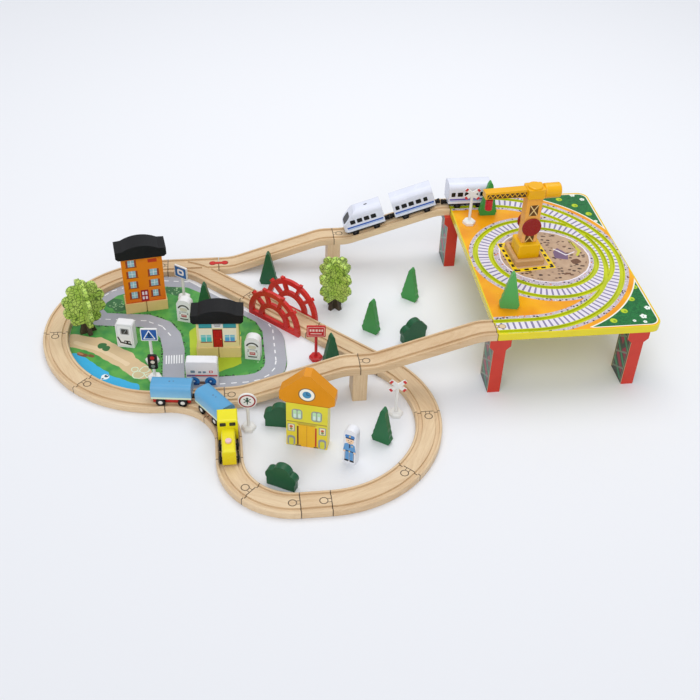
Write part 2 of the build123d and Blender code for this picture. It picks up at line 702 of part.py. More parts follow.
# ---- buildings ----
def house(height):
    """A flat-roofed house on a wider foot, centred on the origin; the roof sits on top."""
    walls = block(0, 0, HOUSE_BASE_H, HOUSE_W - 4, HOUSE_D - 2, height - HOUSE_BASE_H)
    foot = block(0, 0, 0, HOUSE_W, HOUSE_D + 2, HOUSE_BASE_H)
    foot -= block(0, -HOUSE_D / 2, 0, 2, 6, HOUSE_BASE_H)
    return walls + foot


def roof(z):
    """A black roof with upturned eaves and a low round crown."""
    half = ROOF_W / 2
    crown = ThreePointArc((-half + 12, ROOF_H - 5), (0, ROOF_H + 3), (half - 12, ROOF_H - 5))
    outline = make_face([
        Polyline((-half + 12, ROOF_H - 5), (-half, ROOF_H - 6), (-half, 4), (-half + 4, 0)),
        Polyline((-half + 4, 0), (half - 4, 0), (half, 4), (half, ROOF_H - 6), (half - 12, ROOF_H - 5)),
        crown,
    ])
    return Pos(0, 0, z) * board(outline, ROOF_D)


def build_houses():
    add("tall_house", at(-548, 275, MAT_T, 8) * house(TALL_H))
    add("black_roofs", at(-548, 275, MAT_T, 8) * roof(TALL_H))
    add("cottage", at(-425, 139, MAT_T, -4) * house(COTTAGE_H))
    add("black_roofs", at(-425, 139, MAT_T, -4) * roof(COTTAGE_H))
    wall = 31
    eave = 41
    outline = [
        (-wall, 0), (wall, 0), (wall, 84), (eave, 90), (eave, 104),
        (5, 139), (-5, 139), (-eave, 104), (-eave, 90), (-wall, 84),
    ]
    front = board(make_face(Polyline(*outline, close=True)), 20)
    add("station", at(-299, -85, 0, -17.5) * front)


# ---- people and vehicles ----
def token(width, height, shoulder, thickness):
    """An upright block with a rounded top."""
    half = width / 2
    outline = Pos(0, height / 2) * Rectangle(width, height)
    outline = fillet(outline.vertices().sort_by(Axis.Y)[-2:], min(shoulder, half - 0.5))
    return board(outline, thickness)


def build_vehicles():
    add("policeman", at(-240, -128, 0, -30) * token(20, 66, 9, 14))
    add("van", at(-576, 172, MAT_T, -14) * token(29, 48, 4, 16))
    for x, y, turn in ((-480, 232, -20), (-370, 121, -14)):
        add("round_cars", at(x, y, MAT_T, turn) * token(25, 45, 11, 15))
    add("ambulance", at(-453, 66, MAT_T, -6) * token(50, 47, 4, 17))


# ---- signs ----
def sign(height, plate, lean=0.0):
    """A post on a six-sided foot that carries a plate, as one glued piece."""
    foot = extrude(RegularPolygon(SIGN_BASE_D / 2, 6), SIGN_BASE_H)
    foot = chamfer(foot.faces().sort_by(Axis.Z)[-1].edges(), 2)
    stem = post(0, 0, SIGN_BASE_H - 1, SIGN_POST_D, height - SIGN_BASE_H - 8)
    turned = Rot(0, 0, lean) * (Pos(0, -SIGN_POST_D / 2, height) * board(plate, 3))
    return foot + stem + turned


def cross_plate():
    arms = [Rot(0, 0, a) * Rectangle(30, 6) for a in (38, -38)]
    return Pos(0, -9) * (arms[0] + arms[1])


def build_signs():
    square = Pos(0, -12) * RectangleRounded(27, 24, 2)
    add("square_signs", at(-483, 293, MAT_T, -38) * sign(70, square))
    add("square_signs", at(-534, 124, MAT_T, -6) * sign(70, square))
    lamp = Pos(0, -14) * RectangleRounded(15, 28, 3)
    add("traffic_light", at(-529, 80, MAT_T, -6) * sign(52, lamp))
    disc = Pos(0, -13) * Circle(14)
    add("round_sign", at(-386, -46, 0, -6) * sign(72, disc))
    add("rail_cross_signs", at(-158, -36, 0, -6) * sign(SIGN_H, cross_plate()))
    add("rail_cross_signs", at(23, 316, DECK_Z, -6) * sign(SIGN_H, cross_plate()))
    name_board = Pos(0, -11) * RectangleRounded(31, 22, 2)
    add("station_sign", at(-268, 110, 0, -6) * sign(70, name_board))


# ---- trees ----
def fir():
    """A flat saw-edged fir, standing on its straight foot."""
    half = FIR_W / 2
    tiers = 5
    right = [(half * 0.82, 0)]
    for i in range(tiers):
        z = FIR_H * (0.12 + 0.88 * i / tiers)
        reach = half * (1 - 0.86 * i / tiers)
        right.append((reach, z))
        right.append((reach * 0.84, z + FIR_H * 0.09))
    right.append((1.2, FIR_H))
    left = [(-x, z) for x, z in reversed(right)]
    return board(make_face(Polyline(*(right + left), close=True)), FIR_T)


def bush():
    """A flat round-topped bush."""
    outline = Pos(0, 9) * Rectangle(44, 18)
    for x, z, radius in ((-13, 20, 11), (1, 27, 14), (14, 19, 10)):
        outline += Pos(x, z) * Circle(radius)
    return board(outline, BUSH_T)


def leafy_outline():
    """A lobed crown on a short trunk, in X and Z."""
    middle = LEAFY_H * 0.56
    crown = Pos(0, middle) * Ellipse(LEAFY_W * 0.36, LEAFY_H * 0.36)
    for i in range(10):
        angle = 2 * pi * i / 10 + 0.3
        x = LEAFY_W * 0.36 * cos(angle)
        z = middle + LEAFY_H * 0.34 * sin(angle)
        crown += Pos(x, z) * Circle(LEAFY_W * 0.135)
    trunk = make_face(Polyline((-14, 0), (14, 0), (7, 24), (-7, 24), close=True))
    return crown + trunk


def leafy_tree():
    """Two lobed boards that slot together crosswise."""
    whole = board(leafy_outline(), LEAFY_T)
    middle = LEAFY_H * 0.52
    slot = LEAFY_T + 0.2
    upper = whole - block(0, 0, -1, slot, 2 * LEAFY_T, middle + 1)
    lower = whole - block(0, 0, middle, slot, 2 * LEAFY_T, LEAFY_H)
    return [upper, Rot(0, 0, 90) * lower]


FLOOR_FIRS = ((-332, 330, 0, -10), (-245, 88, 0, 12), (-167, 174, 0, -40), (-85, 260, 0, -40), (-188, -92, 0, -35))
RAISED_FIRS = ((-446, 243, MAT_T, -8), (62, 344, DECK_Z, 0), (33, 68, DECK_Z, -12))
BUSHES = ((-99, 147, 0, 24), (-344, -168, 0, -30), (-338, -42, 0, -12))
LEAFY_TREES = ((-643, 213, MAT_T, 24), (-221, 248, 0, 40))


def build_trees():
    for spot in FLOOR_FIRS + RAISED_FIRS:
        add("fir_trees", at(*spot) * fir())
    for spot in BUSHES:
        add("bushes", at(*spot) * bush())
    for spot in LEAFY_TREES:
        add("leafy_trees", *[at(*spot) * half for half in leafy_tree()])


build_track()
build_table()
build_mat()
build_bridge()
CRANK_Z, JIB_UNDER, WEIGHT_X = build_crane()
build_trains()
build_houses()
build_vehicles()
build_signs()
build_trees()

os.makedirs("parts", exist_ok=True)
for node, solids in pieces.items():
    moved = [OUT * solid for shape in solids for solid in shape.solids()]
    whole = moved[0] if len(moved) == 1 else Compound(children=moved)
    export_step(whole, "parts/" + node + ".step")
print(len(pieces), "nodes written")
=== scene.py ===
import bpy
import bmesh
import math
from mathutils import Matrix, Vector


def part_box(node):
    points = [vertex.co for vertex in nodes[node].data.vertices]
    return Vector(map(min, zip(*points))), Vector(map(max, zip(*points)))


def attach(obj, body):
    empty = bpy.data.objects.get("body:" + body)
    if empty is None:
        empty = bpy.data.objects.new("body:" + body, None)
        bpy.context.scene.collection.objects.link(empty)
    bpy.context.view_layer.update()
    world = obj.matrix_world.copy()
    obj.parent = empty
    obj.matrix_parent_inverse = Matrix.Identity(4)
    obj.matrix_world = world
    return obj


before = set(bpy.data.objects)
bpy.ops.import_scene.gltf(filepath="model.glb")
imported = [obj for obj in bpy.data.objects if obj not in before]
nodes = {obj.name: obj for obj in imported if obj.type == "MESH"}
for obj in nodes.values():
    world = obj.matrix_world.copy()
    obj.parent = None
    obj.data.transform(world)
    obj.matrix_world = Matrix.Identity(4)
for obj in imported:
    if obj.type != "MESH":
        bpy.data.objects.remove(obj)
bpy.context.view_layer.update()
print("frame loaded with", len(nodes), "nodes")

# the layout is measured in millimetres from the table's front left corner, as the part's own source does
layout = {
    "originX": -225, "originY": 85, "loopX": -512, "loopY": 202, "smallR": 95, "smallY": -75,
    "sideX": -278, "sideY": -46.94, "lowX": -322, "lowY": -119, "deckZ": 118, "slope": 18.116, "matTop": 2,
}


def metres(x, y, z=0):
    return ((x - layout["originX"]) / 1000, (y - layout["originY"]) / 1000, z / 1000)


def linear(*tone):
    # screen values from 0 to 255 made into a colour for the shader
    shares = [value / 255 for value in tone]
    return (*[share / 12.92 if share <= 0.04045 else ((share + 0.055) / 1.055) ** 2.4 for share in shares], 1.0)


def heading(degrees):
    return math.cos(math.radians(degrees)), math.sin(math.radians(degrees))


# node helpers: nodes are added to the tree on the bench
bench = {"tree": None}
groups = {}
socketKinds = {"f": "NodeSocketFloat", "v": "NodeSocketVector", "c": "NodeSocketColor"}


def newNode(kind):
    return bench["tree"].nodes.new(kind)


def feed(socket, value):
    if isinstance(value, Wire):
        value = value.socket
    if isinstance(value, bpy.types.NodeSocket):
        bench["tree"].links.new(value, socket)
    else:
        socket.default_value = value


def feedAll(sockets, values):
    for socket, value in zip(sockets, values):
        feed(socket, value)


def calc(operation, *values, clamp=False):
    node = newNode("ShaderNodeMath")
    node.operation = operation
    node.use_clamp = clamp
    feedAll(node.inputs, values)
    return Wire(node.outputs[0])


class Wire:
    # a node's output, whose plain arithmetic adds Math nodes
    def __init__(self, socket):
        self.socket = socket

    def __add__(self, other):
        return calc("ADD", self, other)

    def __sub__(self, other):
        return calc("SUBTRACT", self, other)

    def __rsub__(self, other):
        return calc("SUBTRACT", other, self)

    def __mul__(self, other):
        return calc("MULTIPLY", self, other)

    def __truediv__(self, other):
        return calc("DIVIDE", self, other)

    def __lt__(self, other):
        return calc("LESS_THAN", self, other)

    def __gt__(self, other):
        return calc("GREATER_THAN", self, other)

    def __abs__(self):
        return calc("ABSOLUTE", self)


def larger(one, other):
    return calc("MAXIMUM", one, other)


def wires(sockets):
    return {socket.name: Wire(socket) for socket in sockets}


def shown(tone):
    return linear(*tone) if isinstance(tone, tuple) and len(tone) == 3 else tone


def tint(mask, under, over, mode="MIX"):
    # colours are wires, or three screen values
    node = newNode("ShaderNodeMix")
    node.data_type = "RGBA"
    node.blend_type = mode
    feedAll((node.inputs[0], node.inputs[6], node.inputs[7]), (mask, shown(under), shown(over)))
    return node.outputs[2]


def newGroup(name, inputs, outputs):
    tree = bpy.data.node_groups.new(name, "ShaderNodeTree")
    for label, kind, value in inputs:
        socket = tree.interface.new_socket(name=label, in_out="INPUT", socket_type=socketKinds[kind])
        socket.default_value = value
    for label, kind in outputs:
        tree.interface.new_socket(name=label, in_out="OUTPUT", socket_type=socketKinds[kind])
    bench["tree"] = groups[name] = tree
    return wires(newNode("NodeGroupInput").outputs), newNode("NodeGroupOutput").inputs


def place(name, **values):
    node = newNode("ShaderNodeGroup")
    node.node_tree = groups[name]
    for label, value in values.items():
        feed(node.inputs[label], value)
    return wires(node.outputs)


def joinVector(x, y, z=0):
    node = newNode("ShaderNodeCombineXYZ")
    feedAll(node.inputs, (x, y, z))
    return node.outputs[0]


def splitVector(vector):
    node = newNode("ShaderNodeSeparateXYZ")
    feed(node.inputs[0], vector)
    return [Wire(socket) for socket in node.outputs]


def vectorMath(operation, *values):
    node = newNode("ShaderNodeVectorMath")
    node.operation = operation
    feedAll(node.inputs, values)
    return node


def scaled(vector, factors):
    return vectorMath("MULTIPLY", vector, factors).outputs[0]


def noise(vector, size, detail=2, roughness=0.5):
    node = newNode("ShaderNodeTexNoise")
    feed(node.inputs["Vector"], vector)
    node.inputs["Scale"].default_value = 1 / size
    node.inputs["Detail"].default_value = detail
    node.inputs["Roughness"].default_value = roughness
    return wires(node.outputs)


def ramped(value, low, high, toLow=0, toHigh=1):
    node = newNode("ShaderNodeMapRange")
    node.interpolation_type = "SMOOTHSTEP"
    feedAll(node.inputs, (value, low, high, toLow, toHigh))
    return Wire(node.outputs[0])


def lengthOf(one, other):
    return calc("SQRT", one * one + other * other)


def edgeOf(distance, soft):
    # turns a signed distance into a mask that is 1 inside
    return calc("SUBTRACT", 0.5, distance / soft, clamp=True)


# shader groups
def makeGroups():
    softness = ("Soft", "f", 0.3)
    spot = [("U", "f", 0), ("V", "f", 0), ("AtU", "f", 0), ("AtV", "f", 0)]
    dashes = [("Half", "f", 1), ("Pitch", "f", 10), ("Share", "f", 2), softness]

    box = [("HalfU", "f", 1), ("HalfV", "f", 1), ("Turn", "f", 0), ("Corner", "f", 0), softness]
    given, out = newGroup("printedBox", spot + box, [("Mask", "f")])
    across, along = given["U"] - given["AtU"], given["V"] - given["AtV"]
    cosine, sine = calc("COSINE", given["Turn"]), calc("SINE", given["Turn"])
    turnedU = across * cosine + along * sine
    turnedV = along * cosine - across * sine
    pastU = abs(turnedU) - given["HalfU"] + given["Corner"]
    pastV = abs(turnedV) - given["HalfV"] + given["Corner"]
    outU, outV = larger(pastU, 0), larger(pastV, 0)
    outside = lengthOf(outU, outV)
    inside = calc("MINIMUM", larger(pastU, pastV), 0)
    distance = outside + inside - given["Corner"]
    feed(out["Mask"], edgeOf(distance, given["Soft"]))

    given, out = newGroup("printedRing", [*spot, ("Radius", "f", 0), *dashes], [("Mask", "f")])
    across, along = given["U"] - given["AtU"], given["V"] - given["AtV"]
    away = lengthOf(across, along)
    distance = abs(away - given["Radius"]) - given["Half"]
    angle = calc("ARCTAN2", along, across)
    steps = angle * given["Radius"] / given["Pitch"]
    dash = calc("FRACT", steps) < given["Share"]
    feed(out["Mask"], edgeOf(distance, given["Soft"]) * dash)

    given, out = newGroup("printedLine", [*spot, ("ToU", "f", 1), ("ToV", "f", 0), *dashes], [("Mask", "f")])
    spanU = given["ToU"] - given["AtU"]
    spanV = given["ToV"] - given["AtV"]
    across, along = given["U"] - given["AtU"], given["V"] - given["AtV"]
    dot = across * spanU + along * spanV
    square = spanU * spanU + spanV * spanV
    share = calc("DIVIDE", dot, square, clamp=True)
    offU = across - spanU * share
    offV = along - spanV * share
    away = lengthOf(offU, offV)
    steps = share * calc("SQRT", square) / given["Pitch"]
    dash = calc("FRACT", steps) < given["Share"]
    mask = edgeOf(away - given["Half"], given["Soft"])
    feed(out["Mask"], mask * dash)

    # pushes a print's outline about, for hand-drawn ground
    given, out = newGroup("wavyOutline", [("U", "f", 0), ("V", "f", 0), ("Amount", "f", 3), ("Size", "f", 20)],
        [("U", "f"), ("V", "f")])
    cloud = noise(joinVector(given["U"] / given["Size"], given["V"] / given["Size"], 3.7), 1)
    parts = splitVector(cloud["Color"])
    for label, part in (("U", parts[0]), ("V", parts[1])):
        push = (part - 0.5) * (given["Amount"] * 2)
        feed(out[label], given[label] + push)

    # round dots of uneven tone for printed gravel, stones and leaves
    given, out = newGroup("printedDots", [("U", "f", 0), ("V", "f", 0), ("Size", "f", 3), ("Share", "f", 0.4)],
        [("Mask", "f"), ("Tone", "f")])
    cells = newNode("ShaderNodeTexVoronoi")
    spread = joinVector(given["U"] / given["Size"], given["V"] / given["Size"], 0)
    feed(cells.inputs["Vector"], spread)
    cells.inputs["Scale"].default_value = 1
    feed(out["Mask"], edgeOf(cells.outputs["Distance"] - given["Share"], 0.12))
    feed(out["Tone"], splitVector(cells.outputs["Color"])[0])

    # close-grained beech: soft year rings, fibres and short dark flecks, with the grain along X
    given, out = newGroup("beechGrain", [
        ("Vector", "v", (0, 0, 0)), ("Light", "c", (1, 1, 1, 1)), ("Dark", "c", (0, 0, 0, 1)), ("Board", "f", 0)],
        [("Colour", "c"), ("Roughness", "f"), ("Height", "f")])
    shift = joinVector(given["Board"] * 131, given["Board"] * 57, 0)
    vector = vectorMath("ADD", given["Vector"], shift).outputs[0]
    rings = noise(scaled(vector, (0.05, 1, 1)), 17, 2, 0.45)["Fac"]
    bands = calc("MULTIPLY_ADD", calc("SINE", rings * 44), 0.5, 0.5)
    fibres = noise(scaled(vector, (0.06, 1, 1)), 0.9, 3, 0.6)["Fac"]
    blotch = noise(scaled(vector, (0.3, 1, 1)), 38, 2)["Fac"]
    flecks = ramped(noise(scaled(vector, (0.2, 1, 1)), 0.75, 1)["Fac"], 0.68, 0.76)
    mixed = bands * 0.26 + ramped(fibres, 0.35, 0.7) * 0.34
    toned = calc("ADD", mixed, ramped(blotch, 0.35, 0.68) * 0.36, clamp=True)
    board = calc("MULTIPLY_ADD", calc("FRACT", given["Board"] * 0.618), 0.34, -0.12)
    shade = calc("ADD", toned, board, clamp=True)
    colour = tint(shade, given["Light"], given["Dark"])
    colour = tint(flecks * 0.4, colour, tint(1, given["Dark"], (0.5, 0.42, 0.36, 1), "MULTIPLY"))
    feed(out["Colour"], colour)
    feed(out["Roughness"], calc("MULTIPLY_ADD", fibres, 0.2, 0.36))
    feed(out["Height"], fibres - flecks * 0.6)

    # a lacquered or printed coat over wood: slight tone drift, faint grain and a little dust
    given, out = newGroup("lacquerCoat", [
        ("Vector", "v", (0, 0, 0)), ("Colour", "c", (1, 1, 1, 1)), ("Gloss", "f", 0.3), ("Grain", "f", 0.3)],
        [("Colour", "c"), ("Roughness", "f"), ("Height", "f")])
    drift = noise(given["Vector"], 26, 3)["Fac"]
    fibres = noise(scaled(given["Vector"], (1, 1, 0.09)), 1, 2)["Fac"]
    peel = noise(given["Vector"], 2.2, 1)["Fac"]
    dust = ramped(noise(given["Vector"], 0.5, 1)["Fac"], 0.7, 0.78)
    level = calc("MULTIPLY_ADD", drift, 0.16, 0.92)
    level = level + (fibres - 0.5) * (given["Grain"] * 0.2)
    colour = tint(1, given["Colour"], joinVector(level, level, level), "MULTIPLY")
    colour = tint(dust * 0.1, colour, (0.8, 0.78, 0.74, 1))
    feed(out["Colour"], colour)
    rough = given["Gloss"] + (drift - 0.5) * 0.14
    feed(out["Roughness"], calc("ADD", rough, dust * 0.2, clamp=True))
    feed(out["Height"], peel * 0.5 + fibres * given["Grain"])

    # rounds sharp edges a little and says where they are, for worn corners
    given, out = newGroup("easedEdge", [("Radius", "f", 0.0006)], [("Normal", "v"), ("Edge", "f")])
    bevel = newNode("ShaderNodeBevel")
    bevel.samples = 4
    feed(bevel.inputs["Radius"], given["Radius"])
    geometry = newNode("ShaderNodeNewGeometry")
    dot = vectorMath("DOT_PRODUCT", bevel.outputs[0], geometry.outputs["Normal"])
    feed(out["Normal"], bevel.outputs[0])
    feed(out["Edge"], ramped(dot.outputs["Value"], 0.97, 0.8))


makeGroups()
print("shader groups built")


# materials
def startMaterial(name):
    material = bpy.data.materials.new(name)
    material.use_nodes = True
    bench["tree"] = material.node_tree
    return material, material.node_tree.nodes["Principled BSDF"]


def setAll(shader, values):
    for label, value in values.items():
        shader.inputs[label].default_value = value


def objectPoint():
    return newNode("ShaderNodeTexCoord").outputs["Object"]


def pieceAxes(x, y, z=0, turn=0, lean=0):
    # the piece's own axes in millimetres, from its place in the layout
    node = newNode("ShaderNodeMapping")
    node.vector_type = "TEXTURE"
    feed(node.inputs["Vector"], objectPoint())
    node.inputs["Location"].default_value = metres(x, y, z)
    node.inputs["Rotation"].default_value = (0, math.radians(lean), math.radians(turn))
    node.inputs["Scale"].default_value = (0.001, 0.001, 0.001)
    return node.outputs[0]


def axesAt(*where):
    return splitVector(pieceAxes(*where))


def shapeMask(u, v, shape):
    kind, values = shape[0], shape[1:]
    if kind != "outline":
        spot = {"U": u, "V": v, "AtU": values[0], "AtV": values[1]}
    if kind == "box":
        wide, high, turn, corner = (*values[2:], 0, 0)[:4]
        return place("printedBox", **spot, HalfU=wide / 2, HalfV=high / 2, Turn=math.radians(turn),
            Corner=corner)["Mask"]
    if kind == "disc":
        return place("printedRing", **spot, Radius=0, Half=values[2])["Mask"]
    if kind == "ring":
        radius, wide, pitch, share = (*values[2:], 10, 2)[:4]
        return place("printedRing", **spot, Radius=radius, Half=wide / 2, Pitch=pitch, Share=share)["Mask"]
    if kind == "line":
        toU, toV, wide, pitch, share = (*values[2:], 10, 2)[:5]
        return place("printedLine", **spot, ToU=toU, ToV=toV, Half=wide / 2, Pitch=pitch, Share=share)["Mask"]
    # a convex outline, listed anticlockwise
    mask = None
    for (ax, ay), (bx, by) in zip(values, values[1:] + values[:1]):
        size = math.hypot(bx - ax, by - ay)
        normalU, normalV = (by - ay) / size, (ax - bx) / size
        off = u * normalU + v * normalV
        distance = off - (normalU * ax + normalV * ay)
        mask = distance if mask is None else larger(mask, distance)
    return edgeOf(mask, 0.3)


def strokes(points, *width):
    return [("line", *start, *end, *width) for start, end in zip(points, points[1:])]


def mirrored(kind, at, *rest):
    return [(kind, -at, *rest), (kind, at, *rest)]


def anyOf(u, v, shapes):
    mask = None
    for shape in shapes:
        one = shapeMask(u, v, shape)
        mask = one if mask is None else larger(mask, one)
    return mask


def printOver(u, v, colour, layers, where=None):
    # each layer is a tone and the shapes it fills, and later layers lie over earlier ones
    for tone, shapes in layers:
        mask = anyOf(u, v, shapes)
        if where is not None:
            mask = mask * where
        colour = tint(mask, colour, tone)
    return colour


def bumped(height, strength, distance, normal=None):
    node = newNode("ShaderNodeBump")
    node.inputs["Strength"].default_value = strength
    node.inputs["Distance"].default_value = distance
    feed(node.inputs["Height"], height)
    if normal is not None:
        feed(node.inputs["Normal"], normal)
    return node.outputs[0]


lacquer = {
    "coatShare": 0.5, "coatRough": 0.2, "bump": 0.25, "bumpDepth": 0.0001, "wearSize": 0.004, "wearLow": 0.42,
    "wearHigh": 0.62,
}


def lacquered(name, colour, gloss=0.3, grain=0.3, wear=(235, 215, 180), wearShare=0.2, coat=0.25, easing=0.0006,
        shine=0.3, metallic=0):
    # colour is three screen values, or a function that prints on the tree and returns a wire
    material, shader = startMaterial(name)
    base = colour() if callable(colour) else colour
    ease = place("easedEdge", Radius=easing)
    spots = noise(objectPoint(), lacquer["wearSize"], 3)["Fac"]
    worn = ease["Edge"] * ramped(spots, lacquer["wearLow"], lacquer["wearHigh"]) * wearShare
    base = tint(worn, base, wear)
    coatSkin = place("lacquerCoat", Vector=scaled(objectPoint(), (1000, 1000, 1000)), Colour=base, Gloss=gloss,
        Grain=grain)
    feed(shader.inputs["Base Color"], coatSkin["Colour"])
    feed(shader.inputs["Roughness"], coatSkin["Roughness"])
    feed(shader.inputs["Normal"], bumped(coatSkin["Height"], lacquer["bump"], lacquer["bumpDepth"], ease["Normal"]))
    setAll(shader, {"Coat Weight": coat * lacquer["coatShare"], "Coat Roughness": lacquer["coatRough"]})
    setAll(shader, {"Specular IOR Level": shine, "Metallic": metallic})
    return material


beech = {
    "light": (224, 199, 162), "dark": (200, 168, 128), "gap": (62, 44, 30), "wear": (176, 138, 98), "wearShare": 0.18,
    "headAt": 11, "headR": 5.7, "gapWide": 1.5, "neck": 3, "neckLong": 6, "seamHalf": 21, "gapShare": 0.85,
    "coat": 0.08, "coatRough": 0.35, "bump": 0.35, "bumpDepth": 0.0002, "easing": 0.0006,
}


def beechMaterial(name, direct, joints=()):
    # direct builds the grain's own axes and a number for each board, and joints are the section ends as x, y, heading
    material, shader = startMaterial(name)
    vector, board = direct()
    ease = place("easedEdge", Radius=beech["easing"])
    grain = place("beechGrain", Vector=vector, Light=linear(*beech["light"]), Dark=linear(*beech["dark"]),
        Board=board)
    colour = tint(ease["Edge"] * beech["wearShare"], grain["Colour"], beech["wear"])
    if joints:
        parts = axesAt(0, 0)
        gaps, half, neck = [], beech["seamHalf"], beech["neckLong"]
        for x, y, turn in joints:
            ahead = heading(turn)
            gaps.append(("ring", x + beech["headAt"] * ahead[0], y + beech["headAt"] * ahead[1], beech["headR"],
                beech["gapWide"]))
            gaps.append(("line", x - half * ahead[1], y + half * ahead[0], x + half * ahead[1], y - half * ahead[0],
                beech["gapWide"]))
            for side in (-beech["neck"], beech["neck"]):
                sideX, sideY = x - side * ahead[1], y + side * ahead[0]
                gaps.append(("line", sideX, sideY, sideX + neck * ahead[0], sideY + neck * ahead[1], 1))
        colour = tint(anyOf(parts[0], parts[1], gaps) * beech["gapShare"], colour, beech["gap"])
    feed(shader.inputs["Base Color"], colour)
    feed(shader.inputs["Roughness"], grain["Roughness"])
    feed(shader.inputs["Normal"], bumped(grain["Height"], beech["bump"], beech["bumpDepth"], ease["Normal"]))
    setAll(shader, {"Coat Weight": beech["coat"], "Coat Roughness": beech["coatRough"]})
    return material


def dress(node, material):
    mesh = nodes[node].data
    mesh.materials.clear()
    mesh.materials.append(material)


def paint(node, name, colour, **finish):
    dress(node, lacquered(name, colour, **finish))


# track
def straightGrain(turn, x=0, y=0, pieceLength=None, first=0):
    def direct():
        vector = pieceAxes(x, y, 0, turn)
        if pieceLength is None:
            return vector, first
        step = calc("FLOOR", splitVector(vector)[0] / pieceLength)
        side = (splitVector(vector)[1] > 0) * 5
        return vector, step + side + first
    return direct


def curvedGrain(x, y, start, sweep, first=0):
    # each curve is cut from a straight board, so its grain runs along the chord
    def direct():
        parts = axesAt(x, y)
        around = axesAt(x, y, 0, start)
        angle = calc("ARCTAN2", around[1], around[0])
        angle = calc("MODULO", angle + 2 * math.pi, 2 * math.pi)
        step = calc("FLOOR", angle / math.radians(sweep))
        middle = calc("MULTIPLY_ADD", step + 0.5, math.radians(sweep), math.radians(start + 90))
        rotate = newNode("ShaderNodeVectorRotate")
        rotate.rotation_type = "Z_AXIS"
        feed(rotate.inputs["Vector"], joinVector(*parts))
        feed(rotate.inputs["Angle"], middle * -1)
        return rotate.outputs[0], step + first
    return direct


def chosenGrain(splitAxis, at, low, high):
    # one node holds pieces in two places, so the grain's axes are chosen by where the point is
    def direct():
        parts = axesAt(0, 0)
        mask = parts[splitAxis] > at
        vectorLow, boardLow = low()
        vectorHigh, boardHigh = high()
        mix = newNode("ShaderNodeMix")
        mix.data_type = "VECTOR"
        feedAll((mix.inputs[0], mix.inputs[4], mix.inputs[5]), (mask, vectorLow, vectorHigh))
        mixBoard = newNode("ShaderNodeMix")
        feedAll((mixBoard.inputs[0], mixBoard.inputs[2], mixBoard.inputs[3]), (mask, boardLow, boardHigh))
        return mix.outputs[1], Wire(mixBoard.outputs[0])
    return direct


joints = {
    "loop": [(-512, 20, 0), (-512, 384, 180), (-640.7, 330.7, 225), (-694, 202, 270), (-640.7, 73.3, 315)],
    "side": [(-159.9, 71.2, -45), (-110.9, -46.9, -90), (-159.9, -165.1, -135), (-278, -214, 180)],
    "small": [(-437.1, -16.5, 128), (-322, -214, 180), (-389.2, -186.2, 135), (-417, -119, 90), (-417, -75, 90)],
    "diagonal": [(-372, 283.3, -45), (-265.9, 177.3, -45), (-159.9, 71.2, -45)],
    "short": [(-278, -214, 180), (-322, -214, 180), (-417, -119, 90), (-417, -75, 90)],
    "ramp": [(x, y, 0) for x in (-420, -210, 0) for y in (20, 384)],
    "frontSwitch": [(-512, 20, 0), (-437.1, -16.5, 128), (-420, 20, 0)],
    "backSwitch": [(-512, 384, 180), (-420, 384, 180), (-372, 283.3, -45)],
}


def lowCurve():
    return curvedGrain(layout["lowX"], layout["lowY"], 180, 45, 25)


def dressTrack():
    small = chosenGrain(0, -418, curvedGrain(layout["loopX"], layout["smallY"], 0, 38, 21), lowCurve())
    rows = (
        ("loop_curves", "loop", curvedGrain(layout["loopX"], layout["loopY"], 90, 45, 3)),
        ("side_curves", "side", curvedGrain(layout["sideX"], layout["sideY"], -90, 45, 11)),
        ("small_curves", "small", chosenGrain(1, -97, lowCurve(), small)),
        ("long_straights", "diagonal", straightGrain(-45, -372, 283.4, 150, 31)),
        ("ramps", "ramp", straightGrain(0, -420, 200, 210, 41)),
        ("short_straights", "short", chosenGrain(0, -390, straightGrain(90, first=52), straightGrain(0, first=53))),
        ("front_switch", "frontSwitch", straightGrain(0, first=61)),
        ("back_switch", "backSwitch", straightGrain(-14, first=66)),
    )
    for node, ends, grain in rows:
        dress(node, beechMaterial(ends + "Beech", grain, joints[ends]))

    def upright():
        parts = axesAt(-210, 200)
        return joinVector(parts[2], parts[0], parts[1]), parts[1] > 0
    dress("risers", beechMaterial("riserBeech", upright))
    paint("joint_connector", "connectorRed", (196, 38, 34), gloss=0.22, grain=0, wearShare=0.05, coat=0.5)


dressTrack()
print("track dressed")


# table
yard = {
    "x": 60, "y": 202, "outer": 182, "ringX": 127, "ring": 102, "rail": 13, "railWide": 9, "bed": 48, "tieBed": 20,
    "tie": 17, "edgeDepth": 3.4, "yellow": (222, 206, 34),
}


